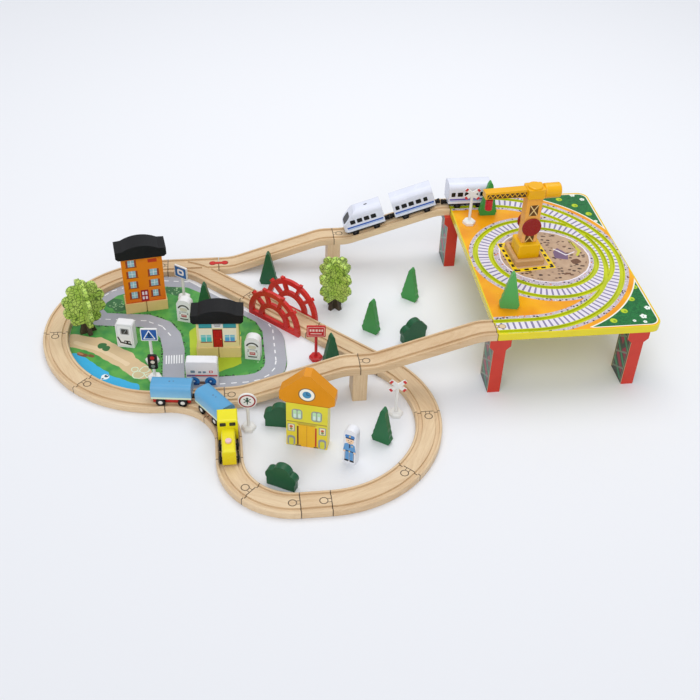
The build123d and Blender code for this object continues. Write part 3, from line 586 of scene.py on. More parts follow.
def tablePrint():
    u, v, z = axesAt(0, 0)
    top = z > layout["deckZ"] - yard["edgeDepth"]
    drift = noise(joinVector(u, v), 60, 2)["Fac"]
    colour = tint(ramped(drift, 0.3, 0.7), (240, 172, 10), (228, 142, 12))

    lavender, deepLavender, gravelDark = (224, 218, 230), (132, 126, 160), (58, 50, 66)
    fine = place("printedDots", U=u, V=v, Size=2.3, Share=0.42)
    coarse = place("printedDots", U=u + 40, V=v, Size=5.4, Share=0.34)
    gravel = tint(fine["Mask"], (190, 178, 188), tint(fine["Tone"], (238, 232, 238), (160, 148, 170)))
    gravel = tint(coarse["Mask"] * (coarse["Tone"] > 0.4), gravel, gravelDark)
    gravel = tint(coarse["Mask"] * (coarse["Tone"] < 0.16), gravel, (210, 120, 60))

    def loopTrack(offset, wide, *dash):
        radius = yard["outer"] + offset
        right = u > yard["x"]
        bend = shapeMask(u, v, ("ring", yard["x"], yard["y"], radius, wide, *dash)) * right
        levels = [yard["y"] + side * radius for side in (-1, 1)]
        ends = [("line", -10, level, yard["x"], level, wide, *dash) for level in levels]
        return larger(bend, anyOf(u, v, ends) * (1 - right))

    def ring(offset, wide, *dash):
        return shapeMask(u, v, ("ring", yard["ringX"], yard["y"], yard["ring"] + offset, wide, *dash))

    def bothTracks(offset, wide):
        return larger(loopTrack(offset, wide), ring(offset, wide))

    # green corners with a white line, bushes and small flowers
    cornerArc = 1 - shapeMask(u, v, ("disc", yard["x"], yard["y"], 216))
    leaf = place("printedDots", U=u, V=v, Size=3.4, Share=0.5)
    cornerBox = shapeMask(u, v, ("box", 200, yard["y"], 118, 392, 0, 14))
    corner = cornerArc * cornerBox
    grass = tint(leaf["Tone"], (24, 112, 52), (10, 88, 44))
    grass = tint(leaf["Mask"] * 0.35, grass, (34, 130, 60))
    lineArc = 1 - shapeMask(u, v, ("disc", yard["x"], yard["y"], 213.8))
    lineBox = shapeMask(u, v, ("box", 200, yard["y"], 121.5, 395.5, 0, 15.5))
    colour = tint(lineArc * lineBox, colour, (238, 240, 226))
    colour = tint(corner, colour, grass)
    bushSpots = [(252, 104), (236, 72), (214, 42), (189, 19), (207, 383), (230, 360), (247, 330)]
    colour = printOver(u, v, colour, [
        ((70, 130, 30), [("disc", x, y, 6.6) for x, y in bushSpots]),
        ((184, 206, 30), [("disc", x, y, 5.4) for x, y in bushSpots]),
        ((120, 160, 24), [("disc", x + 1.2, y - 1.2, 2.2) for x, y in bushSpots]),
    ], corner)
    petals = []
    flowers = (240, 26, 3.4), (254, 47, 3), (254, 120, 2.4), (222, 16, 1.8), (238, 12, 2), (236, 396, 3), (250, 380,
        2.8)
    for x, y, size in (*flowers, (252, 305, 2.2)):
        for angle in (0.3, 1.56, 2.8, 4.1, 5.3):
            petals.append(("disc", x + size * math.cos(angle), y + size * math.sin(angle), size * 0.72))
    colour = printOver(u, v, colour, [((232, 240, 232), petals)], corner)

    # both printed tracks: gravel beds, sleepers and yellow-green rails
    middle = shapeMask(u, v, ("disc", yard["ringX"], yard["y"], 88))
    bed = larger(bothTracks(0, yard["bed"]), middle)
    colour = tint(bed, colour, gravel)
    colour = tint(bothTracks(0, yard["tieBed"]), colour, lavender)
    ringTies = ring(0, yard["tie"], 9.2, 0.34) * (1 - loopTrack(0, yard["tieBed"]))
    colour = tint(larger(loopTrack(0, yard["tie"], 9.6, 0.34), ringTies), colour, deepLavender)
    rails = larger(bothTracks(-yard["rail"], yard["railWide"]), bothTracks(yard["rail"], yard["railWide"]))
    railTone = tint(ramped(drift, 0.35, 0.65), (200, 208, 22), (184, 196, 30))
    colour = tint(rails, colour, railTone)

    # the building site inside the ring
    site = {"x": 129, "y": 204, "r": 75}
    wavy = place("wavyOutline", U=u, V=v, Amount=2.2, Size=16)
    wu, wv = wavy["U"], wavy["V"]
    colour = tint(shapeMask(wu, wv, ("disc", site["x"], site["y"], site["r"] + 2.2)), colour, (236, 230, 238))
    soil = tint(noise(joinVector(u, v), 14, 4)["Fac"], (206, 178, 148), (164, 132, 108))
    colour = tint(shapeMask(wu, wv, ("disc", site["x"], site["y"], site["r"])), colour, soil)
    stones = place("printedDots", U=wu, V=wv * 1.5, Size=10, Share=0.33)
    inSite = shapeMask(u, v, ("disc", site["x"], site["y"], site["r"] - 4))
    colour = tint(stones["Mask"] * inSite, colour, tint(stones["Tone"], (104, 78, 60), (60, 44, 38)))
    colour = printOver(wu, wv, colour, [
        ((116, 92, 120), [("outline", (146, 196), (166, 190), (172, 206), (158, 226), (148, 214))]),
        ((232, 226, 232), [("line", 152, 222, 168, 204, 2.4), ("line", 168, 204, 184, 212, 2)]),
        ((110, 76, 54), [("box", 178, 184, 17, 13, 20, 4), ("box", 200, 178, 12, 8, -20, 3),
         ("box", 154, 150, 13, 5, 10, 2)]),
        ((196, 190, 60), [("line", 186, 250, 194, 214, 6), ("line", 194, 214, 186, 202, 5)]),
        ((90, 70, 40), [("line", 186, 246, 190, 224, 1.4)]),
    ], inSite)

    # yellow and black warning frame round the crane
    guard = {"x": 98, "y": 208, "wide": 74, "deep": 88, "turn": 6, "band": 9}
    corners = []
    for sideX, sideY in ((-1, -1), (1, -1), (1, 1), (-1, 1)):
        acrossX, acrossY = sideX * (guard["wide"] - guard["band"]) / 2, sideY * (guard["deep"] - guard["band"]) / 2
        cosine, sine = heading(guard["turn"])
        corners.append((guard["x"] + acrossX * cosine - acrossY * sine,
            guard["y"] + acrossX * sine + acrossY * cosine))
    dashes = strokes(corners + corners[:1], 4.6, 15, 0.52)
    inner = ("box", guard["x"], guard["y"], guard["wide"] - 2 * guard["band"], guard["deep"] - 2 * guard["band"],
        guard["turn"], 1)
    colour = printOver(u, v, colour, [
        ((242, 206, 18), [("box", guard["x"], guard["y"], guard["wide"], guard["deep"], guard["turn"], 2)]),
        ((30, 24, 20), dashes), ((206, 170, 132), [inner]),
    ])

    # the yellow rim and edges
    rimOut = shapeMask(u, v, ("box", 132, 202, 260, 400, 0, 17))
    return tint(top, yard["yellow"], tint(rimOut, yard["yellow"], colour))


def legPrint():
    u, v, z = axesAt(0, 0)
    normal = splitVector(newNode("ShaderNodeTexCoord").outputs["Normal"])
    facing = abs(normal[0]) > 0.5
    # each leg's own depth: the front pair starts at 0.5 and the back pair at 355.5
    depth = v - calc("MULTIPLY_ADD", v > 200, 355, 0.5)
    colour = tint(noise(joinVector(u, v, z), 22)["Fac"], (204, 58, 40), (186, 48, 34))
    lattice = printOver(depth, z, (54, 64, 66), [
        ((164, 34, 74), [("outline", (10, 16), (38, 34), (38, 46), (10, 28)), ("outline", (8, 44), (24, 54), (14, 66),
         (8, 60)), ("outline", (26, 62), (40, 70), (36, 84), (24, 76)), ("outline", (12, 78), (24, 86), (18, 96),
         (10, 92))]),
        ((40, 150, 108), [("line", 6, 34, 44, 58, 5.6), ("line", 6, 66, 44, 90, 5.6), ("line", 6, 4, 44, 26, 5.2)]),
        ((120, 132, 124), [("line", 6, 60, 44, 36, 3), ("line", 6, 94, 44, 66, 3), ("line", 6, 28, 44, 6, 3)]),
        ((40, 48, 50), [("line", 3, 0, 3, 106, 2.6), ("line", 45, 0, 45, 106, 2.6), ("line", 0, 3, 48, 3, 2.6),
         ("line", 0, 103, 48, 103, 2.6)]),
        ((196, 186, 148), [("line", 0.6, 0, 0.6, 106, 2.4), ("line", 47.4, 0, 47.4, 106, 2.4),
         ("line", 5.4, 4, 5.4, 102, 0.8), ("line", 42.6, 4, 42.6, 102, 0.8)]),
    ])
    return tint(facing, colour, lattice)


paint("table_top", "tableTopPrint", tablePrint, gloss=0.24, grain=0.12, wear=(240, 226, 150), wearShare=0.15,
    coat=0.35)
paint("table_legs", "tableLegPrint", legPrint, gloss=0.32, grain=0.25, wear=(222, 190, 140), wearShare=0.35, coat=0.2)
print("table dressed")


# road mat
def matPrint():
    u, v, z = axesAt(0, 0)
    top = z > 1.6
    wavy = place("wavyOutline", U=u, V=v, Amount=4, Size=22)
    wu, wv = wavy["U"], wavy["V"]
    drift = noise(joinVector(u, v), 18, 3)["Fac"]
    colour = tint(ramped(drift, 0.3, 0.7), (92, 164, 74), (62, 142, 70))
    colour = printOver(wu, wv, colour, [
        ((176, 198, 50), [("box", -432, 150, 84, 120, 0, 16), ("line", -460, 96, -410, 84, 26)]),
        ((74, 152, 72), [("line", -420, 78, -372, 104, 22), ("line", -372, 104, -362, 150, 26)]),
        ((212, 186, 146), [("line", -668, 190, -628, 176, 34), ("line", -628, 176, -580, 132, 38),
         ("line", -580, 132, -552, 98, 34)]),
        ((226, 202, 166), [("line", -660, 184, -616, 160, 10), ("line", -616, 160, -574, 120, 9)]),
        ((58, 172, 220), [("line", -664, 138, -620, 92, 38), ("line", -620, 92, -566, 60, 26)]),
        ((28, 136, 200), [("line", -668, 126, -628, 80, 16), ("line", -622, 78, -578, 56, 9)]),
        ((124, 82, 58), [("box", -648, 152, 18, 9, -30, 4), ("box", -634, 146, 12, 6, -30, 3)]),
        ((176, 120, 84), [("box", -651, 155, 12, 4, -30, 2)]),
        ((210, 232, 206), [("disc", -556, 92, 10), ("disc", -546, 104, 8), ("disc", -562, 106, 6),
         ("disc", -540, 88, 6)]),
        ((206, 190, 150), [("disc", -556, 92, 8.4), ("disc", -546, 104, 6.4), ("disc", -562, 106, 4.6),
         ("disc", -540, 88, 4.6)]),
        ((58, 110, 66), [("disc", -604, 288, 15), ("disc", -594, 276, 12), ("disc", -505, 322, 13),
         ("disc", -494, 312, 10), ("disc", -618, 172, 7), ("disc", -610, 164, 6)]),
    ])
    leaves = place("printedDots", U=wu, V=wv, Size=4.2, Share=0.36)
    shrubs = anyOf(wu, wv, [("disc", -505, 320, 14), ("disc", -600, 284, 13), ("disc", -412, 214, 9),
        ("disc", -364, 112, 9)])
    colour = tint(shrubs * leaves["Mask"], colour, (150, 190, 140))

    # the road: hedge dots, tarmac, then white marks
    bend = [(-382 + 48 * cosine, 107 + 48 * sine) for cosine, sine in map(heading, (0, -22, -45, -67, -90))]
    middle = [(-500, 44), (-500, 150), (-506, 190), (-520, 216), (-548, 234), (-590, 240), (-626, 246), (-640, 270),
        (-634, 300), (-610, 326), (-570, 342), (-520, 350), (-470, 342), (-440, 318), (-390, 268), (-346, 224),
        (-334, 190)] + bend + [(-430, 58), (-500, 60)]
    hedges = strokes(middle, 42)
    hedge = anyOf(u, v, hedges[:6] + hedges[-9:])
    dots = place("printedDots", U=u, V=v, Size=4.4, Share=0.42)
    colour = tint(hedge * dots["Mask"], colour, (28, 52, 34))
    asphalt = noise(joinVector(u, v), 1.2, 2)["Fac"]
    tarmac = tint(asphalt, (178, 180, 188), (154, 157, 168))
    colour = tint(anyOf(u, v, strokes(middle, 35)), colour, tarmac)
    stripes = [("line", -512 + i * 4.2, 116, -512 + i * 4.2, 136, 2) for i in range(7)]
    colour = tint(shapeMask(u, v, ("box", -500, 126, 32, 26)), colour, tarmac)
    colour = printOver(u, v, colour, [((240, 242, 244), strokes(middle[2:-1], 2, 18, 0.5) + stripes)])

    # a small fish in the lake
    colour = printOver(u, v, colour, [
        ((236, 242, 244), [("disc", -608, 92, 6.4), ("outline", (-616, 84), (-608, 88), (-612, 95))]),
        ((36, 70, 92), [("disc", -606, 94, 3.4), ("box", -612, 88, 4, 2, 40, 0.8)]),
        ((240, 244, 246), [("disc", -605, 95, 1.2)]),
    ])
    return tint(top, (196, 190, 176), colour)


paint("town_mat", "roadMatPrint", matPrint, gloss=0.42, grain=0.05, wear=(236, 232, 222), wearShare=0.5, coat=0.12,
    easing=0.0003)
print("mat dressed")


# houses
def frontOf(depth, half):
    # 1 on the printed front and back faces
    return abs(depth) > half - 0.4


def tallHousePrint():
    u, depth, v = axesAt(-548, 275, layout["matTop"], 8)
    colour = tint(ramped(v, 20, 60), (230, 112, 10), (232, 130, 4))
    windows, shutters, sills = [], [], []
    for row, (left, right) in enumerate(((11, 0), (12, 12), (10, 12), (10, 9))):
        level = 101 - row * 21.5
        for at, wide in ((-18, left), (17.5, right)):
            if wide:
                windows.append(("box", at, level, wide, 13))
                shutters.append(("box", at, level, wide + 6.5, 12.6))
                sills.append(("box", at, level - 7.4, wide + 8, 1.6))
    colour = printOver(u, v, colour, [
        ((152, 60, 30), shutters), ((120, 44, 26), sills), ((150, 190, 204), windows),
        ((228, 234, 240), [("box", at[1], at[2], 0.9, 13) for at in windows] + [("box", at[1], at[2],
         at[3], 0.9) for at in windows]),
        ((196, 58, 20), [("box", 17.5, 103, 15, 7)]),
        ((158, 24, 34), [("box", -1, 32.5, 13, 25, 0, 1.5)]),
        ((232, 214, 226), [("box", -3.6, 38, 3.4, 7, 0, 0.8), ("box", 1.6, 38, 3.4, 7, 0, 0.8),
         ("box", -3.6, 28.5, 3.4, 6, 0, 0.8), ("box", 1.6, 28.5, 3.4, 6, 0, 0.8)]),
        ((200, 70, 8), [("box", 0, 21, 70, 1.6)]),
    ], frontOf(depth, 13))
    return tint(v < 20.05, colour, (226, 196, 128))


def cottagePrint():
    u, depth, v = axesAt(-425, 139, layout["matTop"], -4)
    front = frontOf(depth, 13)
    colour = tint(front, (184, 172, 40), (236, 218, 158))
    colour = printOver(u, v, colour, [
        ((240, 232, 208), [("box", -19.5, 47, 22, 24), ("box", 19, 47, 22, 24)]),
        ((58, 158, 168), mirrored("box", 19.5, 65, 21, 9)),
        ((28, 110, 126), mirrored("box", 19.5, 60.4, 21, 1.2)),
        ((228, 228, 230), [("box", 0, 65, 17, 10, 0, 1)]),
        ((96, 106, 124), [("box", 0, 66.4, 11, 1.4), ("box", 0, 63.6, 9, 1.2)]),
        ((84, 196, 196), [("box", -19, 39, 17, 14)]), ((88, 166, 218), [("box", 19, 39, 16, 13)]),
        ((150, 208, 214), [("box", -19, 43, 17, 4), ("box", 19, 42.5, 16, 4)]),
        ((236, 240, 240), [("box", -19, 39, 1, 14), ("box", 19, 39, 1, 13)]),
        ((140, 40, 52), [("box", -19, 31, 19, 1.8), ("box", 19, 31.6, 19, 1.8)]),
        ((110, 22, 20), [("box", -0.5, 39, 16, 37, 0, 1)]),
        ((188, 28, 26), [("box", -0.5, 38, 13, 34, 0, 0.8)]),
        ((150, 20, 20), [("box", -0.5, 47, 8, 11, 0, 0.6), ("box", -0.5, 30.5, 8, 13, 0, 0.6)]),
        ((188, 28, 26), [("box", -0.5, 47, 6.4, 9.4, 0, 0.4), ("box", -0.5, 30.5, 6.4, 11.4, 0, 0.4)]),
        ((232, 196, 80), [("disc", 4.4, 37, 0.9)]),
    ], front)
    return tint(v < 20.05, colour, (230, 206, 142))


def stationPrint():
    u, depth, v = axesAt(-299, -85, 0, -17.5)
    front = frontOf(depth, 10)
    colour = tint(ramped(v, 0, 50), (232, 204, 40), (224, 214, 58))
    colour = tint(v > 85, colour, (220, 142, 2))
    frames, panes = [], []
    for at in (-14.5, 14.5):
        frames += [("box", at, 64, 16, 20, 0, 5)]
        panes += [("box", at - 3.4, 64, 5.4, 16, 0, 2.4), ("box", at + 3.4, 64, 5.4, 16, 0, 2.4)]
    low, lowPanes, arches = [], [], []
    for at in (-23.5, 23.5):
        low += [("box", at, 36, 11, 15, 0, 1.5)]
        lowPanes += [("box", at, 36, 8.4, 12.4, 0, 1)]
        arches += [("box", at, 10, 12, 20, 0, 5)]
    return printOver(u, v, colour, [
        ((146, 150, 150), frames + low), ((186, 224, 176), panes), ((214, 232, 226),
         [("box", s[1], s[2] - 3, 3.6, 7, 0, 1) for s in panes]),
        ((236, 226, 190), lowPanes), ((206, 90, 60), [("disc", -23.5, 38, 2.6), ("disc", 23.5, 37, 2.4)]),
        ((120, 150, 90), [("disc", -23.5, 33.4, 2.2), ("disc", 23.5, 33, 2.2)]),
        ((146, 150, 156), arches), ((214, 210, 60), [(s[0], s[1], s[2] - 2, 7, 15, 0, 3) for s in arches]),
        ((172, 150, 60), [("box", 0, 48.6, 60, 2.2), ("box", 0, 46, 30, 1.4)]),
        ((238, 182, 26), [("box", 0, 21.5, 24, 43)]),
        ((200, 132, 14), [("box", 0, 21.5, 0.8, 43), ("box", 0, 44, 26, 1.4)]),
        ((196, 54, 24), [("box", 13.6, 22, 2.6, 38)]), ((116, 60, 24), [("box", -13.6, 22, 2.6, 38)]),
        ((92, 74, 60), [("box", -13, 1.4, 8, 2.2), ("box", 14, 1.4, 7, 2.2)]),
        ((130, 100, 60), [("disc", 0, 104, 12.6)]), ((244, 242, 228), [("disc", 0, 104, 11)]),
        ((70, 140, 180), [("disc", 0, 104, 6.4)]), ((26, 60, 96), [("line", 0, 104, 0, 108.6, 1.1),
         ("line", 0, 104, 3.4, 104, 1.1)]),
        ((180, 104, 4), [("box", 0, 85.4, 66, 1.2)]),
    ], front)


paint("tall_house", "tallHousePrint", tallHousePrint, gloss=0.34, wear=(236, 200, 140), wearShare=0.35)
paint("cottage", "cottagePrint", cottagePrint, gloss=0.34, wear=(240, 224, 180), wearShare=0.3)
paint("station", "stationPrint", stationPrint, gloss=0.34, wear=(244, 220, 150), wearShare=0.3)
paint("black_roofs", "roofBlack", (19, 19, 21), gloss=0.42, wear=(70, 66, 62), wearShare=0.25, coat=0.1, shine=0.2)
print("houses dressed")


# block figures and cars
def policemanPrint():
    u, depth, v = axesAt(-240, -128, 0, -30)
    return printOver(u, v, (228, 230, 236), [
        ((92, 152, 206), [("box", 0, 32, 13.6, 17, 0, 3.6), ("line", -6.4, 37, -8.2, 25, 3.4),
         ("line", 6.4, 37, 8.2, 25, 3.4), *mirrored("box", 3.4, 16, 5.4, 20)]),
        ((30, 60, 100), [("box", 0, 24.6, 12.6, 2.2), ("line", 0, 39.4, 0, 32, 2), ("line", 0, 7, 0, 22, 0.9),
         ("line", -6.8, 24, -6.8, 7, 0.8), ("line", 6.8, 24, 6.8, 7, 0.8)]),
        ((236, 200, 60), [("disc", 0, 24.6, 1.3), ("disc", 4, 35.6, 1.1)]),
        ((30, 32, 40), mirrored("box", 4.2, 5.4, 7, 3.6, 0, 1.5)),
        ((240, 204, 170), [("disc", 0, 45.6, 6.2), *mirrored("disc", 8.2, 23.4, 1.9)]),
        ((40, 34, 34), [*mirrored("disc", 2.2, 45.6, 0.75), ("line", -1.8, 42, 1.8, 42, 0.7)]),
        ((64, 128, 196), [("box", 0, 54, 15, 6, 0, 2.6)]), ((26, 44, 80), [("box", 0, 50.2, 13.4, 2.2, 0, 0.8)]),
        ((236, 200, 60), [("disc", 0, 54, 1.5)]),
    ], frontOf(depth, 7))


def vanPrint():
    u, depth, v = axesAt(-576, 172, layout["matTop"], -14)
    return printOver(u, v, (230, 230, 232), [
        ((196, 198, 204), [("box", 0, 24, 25, 43, 0, 4)]), ((232, 232, 234), [("box", 0, 24, 23.6, 41.6, 0, 3.6)]),
        ((176, 176, 180), [("box", 0.5, 33, 15, 13, 0, 2)]), ((62, 60, 62), [("box", 0.5, 33, 11, 10, 0, 1.6)]),
        ((140, 146, 150), [("line", -1, 30, 3, 36, 1)]),
        ((34, 32, 34), [("line", -12, 20, -8, 10, 2.6), ("line", -8, 10, 9, 6.6, 3), ("box", 3, 11, 11, 7, 0, 2)]),
        ((190, 192, 196), [("disc", 0, 11, 1.8), ("disc", 6, 11, 1.8)]),
    ], frontOf(depth, 8))


def roundCarPrint():
    # two cars share the node, so each has its own axes
    colour = (232, 232, 232)
    for x, y, turn, lamp in ((-480, 232, -20, (178, 40, 60)), (-370, 121, -14, (196, 32, 52))):
        u, depth, v = axesAt(x, y, layout["matTop"], turn)
        near = (abs(u) < 14) * (abs(depth) < 8)
        upper = v > 27.5
        face = near * frontOf(depth, 7.5)
        arch = shapeMask(u, v, ("ring", 0, 25, 9.4, 2.8)) * (face * upper)
        colour = tint(arch, colour, (64, 62, 58))
        colour = printOver(u, v, colour, [
            ((212, 206, 186), [("box", 0, 26, 13, 7, 0, 3)]), ((150, 150, 150), [("box", 0, 20.4, 17, 1)]),
            ((186, 186, 188), [("ring", 0, 13, 9, 0.8)]),
            (lamp, [("box", 0, 13, 9.4, 5.6, 0, 0.8)]), ((238, 236, 232), [("box", 0, 13, 7, 0.8),
                ("box", 0, 14.8, 7, 0.5)]),
            ((96, 94, 98), mirrored("box", 6.8, 17.4, 2.6, 1.6, 0, 0.6)),
            ((70, 68, 72), [("box", 0, 6, 15, 2.2, 0, 1)]),
        ], face)
    return colour


def ambulancePrint():
    u, depth, v = axesAt(-453, 66, layout["matTop"], -6)
    return printOver(u, v, (232, 232, 236), [
        ((196, 44, 60), [("box", 2, 20.4, 45, 2.6)]), ((104, 70, 150), [("box", -17, 20.4, 13, 2.6)]),
        ((70, 84, 150), [("box", 0, 17.8, 48, 1)]),
        ((110, 140, 160), [("box", -14, 28, 7, 5, 0, 1), ("box", -3, 27, 5, 4, 0, 1), ("box", 4, 27, 5, 4, 0, 1)]),
        ((196, 40, 56), [("box", 14.5, 28, 6, 5, 0, 1.2)]), ((238, 238, 240), [("box", 14.5, 28, 4, 1.1),
         ("box", 14.5, 28, 1.1, 4)]),
        ((122, 96, 84), [("box", 0, 5, 14, 6)]),
        ((36, 128, 206), mirrored("disc", 13, 8, 9)),
        ((26, 66, 130), mirrored("box", 13, 2, 16, 3.4)),
        ((22, 90, 168), mirrored("disc", 13, 8, 4.6)),
        ((196, 220, 238), mirrored("disc", 13, 8, 1.7)),
    ], frontOf(depth, 8.5))


for node, painter in (("policeman", policemanPrint), ("van", vanPrint), ("round_cars", roundCarPrint), ("ambulance",
        ambulancePrint)):
    paint(node, node.title().replace("_", "") + "Print", painter, gloss=0.3, grain=0.2, wear=(214, 206, 196),
        wearShare=0.25)
print("figures and cars dressed")


# signs
def signPrint(body, spots, layers, plateLow):
    # layers are drawn from the sign's top, for each sign that shares the node
    def painter():
        colour = body
        for (x, y, z, turn, height), shapes in zip(spots, layers):
            u, depth, v = axesAt(x, y, z, turn)
            fromTop = v - height
            near = (abs(u) < 17) * (abs(depth) < 4.5)
            face = near * (depth < -3.6) * (fromTop > plateLow)
            colour = printOver(u, fromTop, colour, shapes, face)
        return colour
    return painter


parking = [
    ((44, 108, 176), [("box", 0, -12, 23.5, 20.5, 0, 1.2)]), ((238, 242, 248), [("box", 0, -12, 14, 12, 0, 4)]),
    ((44, 108, 176), [("box", 0, -12, 7, 5, 0, 2)]),
]
crossing = [
    ((40, 92, 168), [("box", 0, -12, 24, 21, 0, 1.2)]),
    ((240, 244, 248), [("line", -9, -20, 0, -3.6, 1.5), ("line", 0, -3.6, 9, -20, 1.5),
     ("line", -9, -20, 9, -20, 1.5)]),
    ((20, 34, 60), [("disc", 0, -9.4, 1.5), ("line", 0, -11.2, 0, -15, 1.8), ("line", 0, -15, -2.6, -18.4, 1.2),
     ("line", 0, -15, 2.6, -18.4, 1.2), ("line", -2.8, -13.6, 2.8, -12, 1)]),
]
figure = [
    ((150, 30, 40), [("ring", 0, -13, 11.4, 2.4)]),
    ((24, 72, 52), [("disc", 0, -7.8, 1.9), ("line", 0, -9.6, 0, -14, 2.6), ("line", -4.6, -9.4, 4.6, -15.4, 1.7),
     ("line", 4.6, -9.4, -4.6, -15.4, 1.7), ("line", 0, -14, 0, -19, 1.7)]),
]
redTips = [((200, 44, 48), [("box", x, y, 7, 7.4, a) for x, y, a in ((-11.6, -0.4, -38), (11.6, -0.4, 38),
    (-11.6, -17.6, 38), (11.6, -17.6, -38))])]
nameBars = [
    ((238, 190, 180), [("box", 0, -11, 27.5, 18.5, 0, 1.2)]), ((198, 36, 38), [("box", 0, -11, 25.6, 16.6, 0, 1)]),
    ((240, 208, 198), [("box", x, -8.4, w, 4.6, 0, 0.5) for x, w in ((-9, 3), (-4.4, 3.6), (0.8, 3.4), (5.6, 3),
     (9.8, 2.6))] + [("box", 0, -15, 18, 1.6, 0, 0.5)]),
]
lamps = [
    ((26, 26, 30), [("box", 0, -14, 16, 29, 0, 3)]), ((196, 36, 44), [("disc", 0, -5.6, 3.5)]),
    ((222, 214, 200), [("disc", 0, -14, 3.3)]), ((120, 132, 128), [("disc", 0, -22.4, 3.3)]),
]
white = (232, 231, 229)
paint("square_signs", "squareSignPrint", signPrint(white, [(-483, 293, 2, -38, 70), (-534, 124, 2, -6, 70)],
    [parking, crossing], -24.5), wearShare=0.15)
paint("round_sign", "roundSignPrint", signPrint(white, [(-386, -46, 0, -6, 72)], [figure], -27.5), wearShare=0.15)
paint("rail_cross_signs", "crossSignPrint", signPrint(white, [(-158, -36, 0, -6, 70), (23, 316, 118, -6, 70)],
    [redTips, redTips], -22), wearShare=0.15)
paint("station_sign", "stationSignPrint", signPrint((196, 34, 36), [(-268, 110, 0, -6, 70)], [nameBars], -22.5),
    wearShare=0.2)


def lampPrint():
    u, depth, v = axesAt(-529, 80, layout["matTop"], -6)
    housing = shapeMask(u, v, ("box", 0, 38, 16, 29))
    thin = depth < -0.9
    colour = tint(housing * thin, white, (26, 26, 30))
    fromTop = v - 52
    return printOver(u, fromTop, colour, lamps, depth < -3.6)


paint("traffic_light", "trafficLightPrint", lampPrint, wearShare=0.15)
print("signs dressed")


# trees
def firPrint():
    # three greens, chosen by where each tree stands
    u, depth, _ = axesAt(0, 0)
    colour = (30, 92, 58)
    for x, y, tone in ((-167, 174, (60, 140, 70)), (-85, 260, (62, 142, 70)), (33, 68, (84, 168, 88)),
            (62, 344, (58, 150, 66)), (-188, -92, (34, 104, 62))):
        near = shapeMask(u, depth, ("disc", x, y, 24))
        colour = tint(near, colour, tone)
    return colour


def leafyPrint():
    u, _, v = axesAt(0, 0)
    raised = u < -400
    level = v - raised * layout["matTop"]
    cells = newNode("ShaderNodeTexVoronoi")
    cells.feature = "DISTANCE_TO_EDGE"
    wobble = noise(pieceAxes(0, 0), 9)["Color"]
    moved = vectorMath("MULTIPLY_ADD", wobble, (5, 5, 5), pieceAxes(0, 0))
    feed(cells.inputs["Vector"], moved.outputs[0])
    cells.inputs["Scale"].default_value = 0.16
    veins = ramped(cells.outputs["Distance"], 0.03, 0.11, 1, 0)
    shade = noise(pieceAxes(0, 0), 14, 2)["Fac"]
    leaf = tint(ramped(shade, 0.35, 0.65), (196, 220, 112), (166, 200, 82))
    leaf = tint(veins * 0.85, leaf, (58, 88, 36))
    bark = tint(noise(scaled(pieceAxes(0, 0), (1, 1, 0.2)), 2, 2)["Fac"], (44, 42, 34), (78, 66, 48))
    return tint(level < 21, leaf, bark)


paint("fir_trees", "firGreen", firPrint, gloss=0.38, grain=0.6, wear=(130, 170, 120), wearShare=0.3, coat=0.12)
paint("bushes", "bushGreen", (30, 88, 56), gloss=0.38, grain=0.6, wear=(130, 170, 120), wearShare=0.3, coat=0.12)
paint("leafy_trees", "leafyPrint", leafyPrint, gloss=0.42, grain=0.3, wear=(200, 190, 130), wearShare=0.4, coat=0.08)
paint("bridge_sides", "bridgeRed", (200, 42, 38), gloss=0.28, wear=(226, 170, 130), wearShare=0.35, coat=0.35)
print("trees and bridge dressed")


# crane
crane = {"x": 95, "y": 208.5, "turn": 4}


def craneAxes():
    return axesAt(crane["x"], crane["y"], layout["deckZ"], crane["turn"])


def mastPrint():
    u, depth, v = craneAxes()
    colour = tint(ramped(v, 40, 110), (238, 178, 104), (238, 168, 62))
    panels, bars = [], []
    for level in (94, 43.5):
        panels.append(("box", 0, level, 15, 20, 0, 0.6))
        bars += [("line", -6.4, level - 9, 6.4, level + 9, 1.6), ("line", -6.4, level + 9, 6.4, level - 9, 1.6)]
    return printOver(u, v, colour, [((96, 62, 22), panels), ((236, 206, 142), bars)], frontOf(depth, 10))


def jibPrint():
    u, depth, v = craneAxes()
    face = frontOf(depth, 7.5) * (abs(depth) < 8)
    zig = []
    for i in range(8):
        left = -81 + i * 8.2
        zig += [("line", left, 121.6, left + 4.1, 127.6, 1.2), ("line", left + 4.1, 127.6, left + 8.2, 121.6, 1.2)]
    return printOver(u, v, (234, 172, 2), [
        ((70, 46, 10), [("outline", (-82, 121), (-15.6, 119.6), (-15.6, 128.2), (-82, 128.2))]),
        ((236, 176, 4), zig),
    ], face)


paint("crane_mast", "craneMastPrint", mastPrint, gloss=0.32, wearShare=0.3)
paint("crane_jib", "craneJibPrint", jibPrint, gloss=0.24, grain=0.05, wear=(246, 214, 110), wearShare=0.3, coat=0.4)
paint("crane_counterweight", "craneWeightYellow", (234, 172, 2), gloss=0.24, grain=0.05, wear=(246, 214, 110),
    wearShare=0.2, coat=0.4)
paint("crane_plinth", "cranePlinthYellow", (238, 184, 8), gloss=0.28, wear=(246, 222, 130), wearShare=0.4, coat=0.3)
paint("crane_crank", "crankRed", (146, 26, 26), gloss=0.28, wear=(206, 120, 90), wearShare=0.3, coat=0.3)
paint("hoist_weight", "weightRed", (190, 30, 34), gloss=0.25, wear=(226, 150, 130), wearShare=0.25, coat=0.4)


def trayGrain():
    parts = pieceAxes(crane["x"], crane["y"], layout["deckZ"], crane["turn"])
    grain = place("beechGrain", Vector=parts, Light=linear(214, 174, 122), Dark=linear(184, 136, 88), Board=7)
    return grain["Colour"]


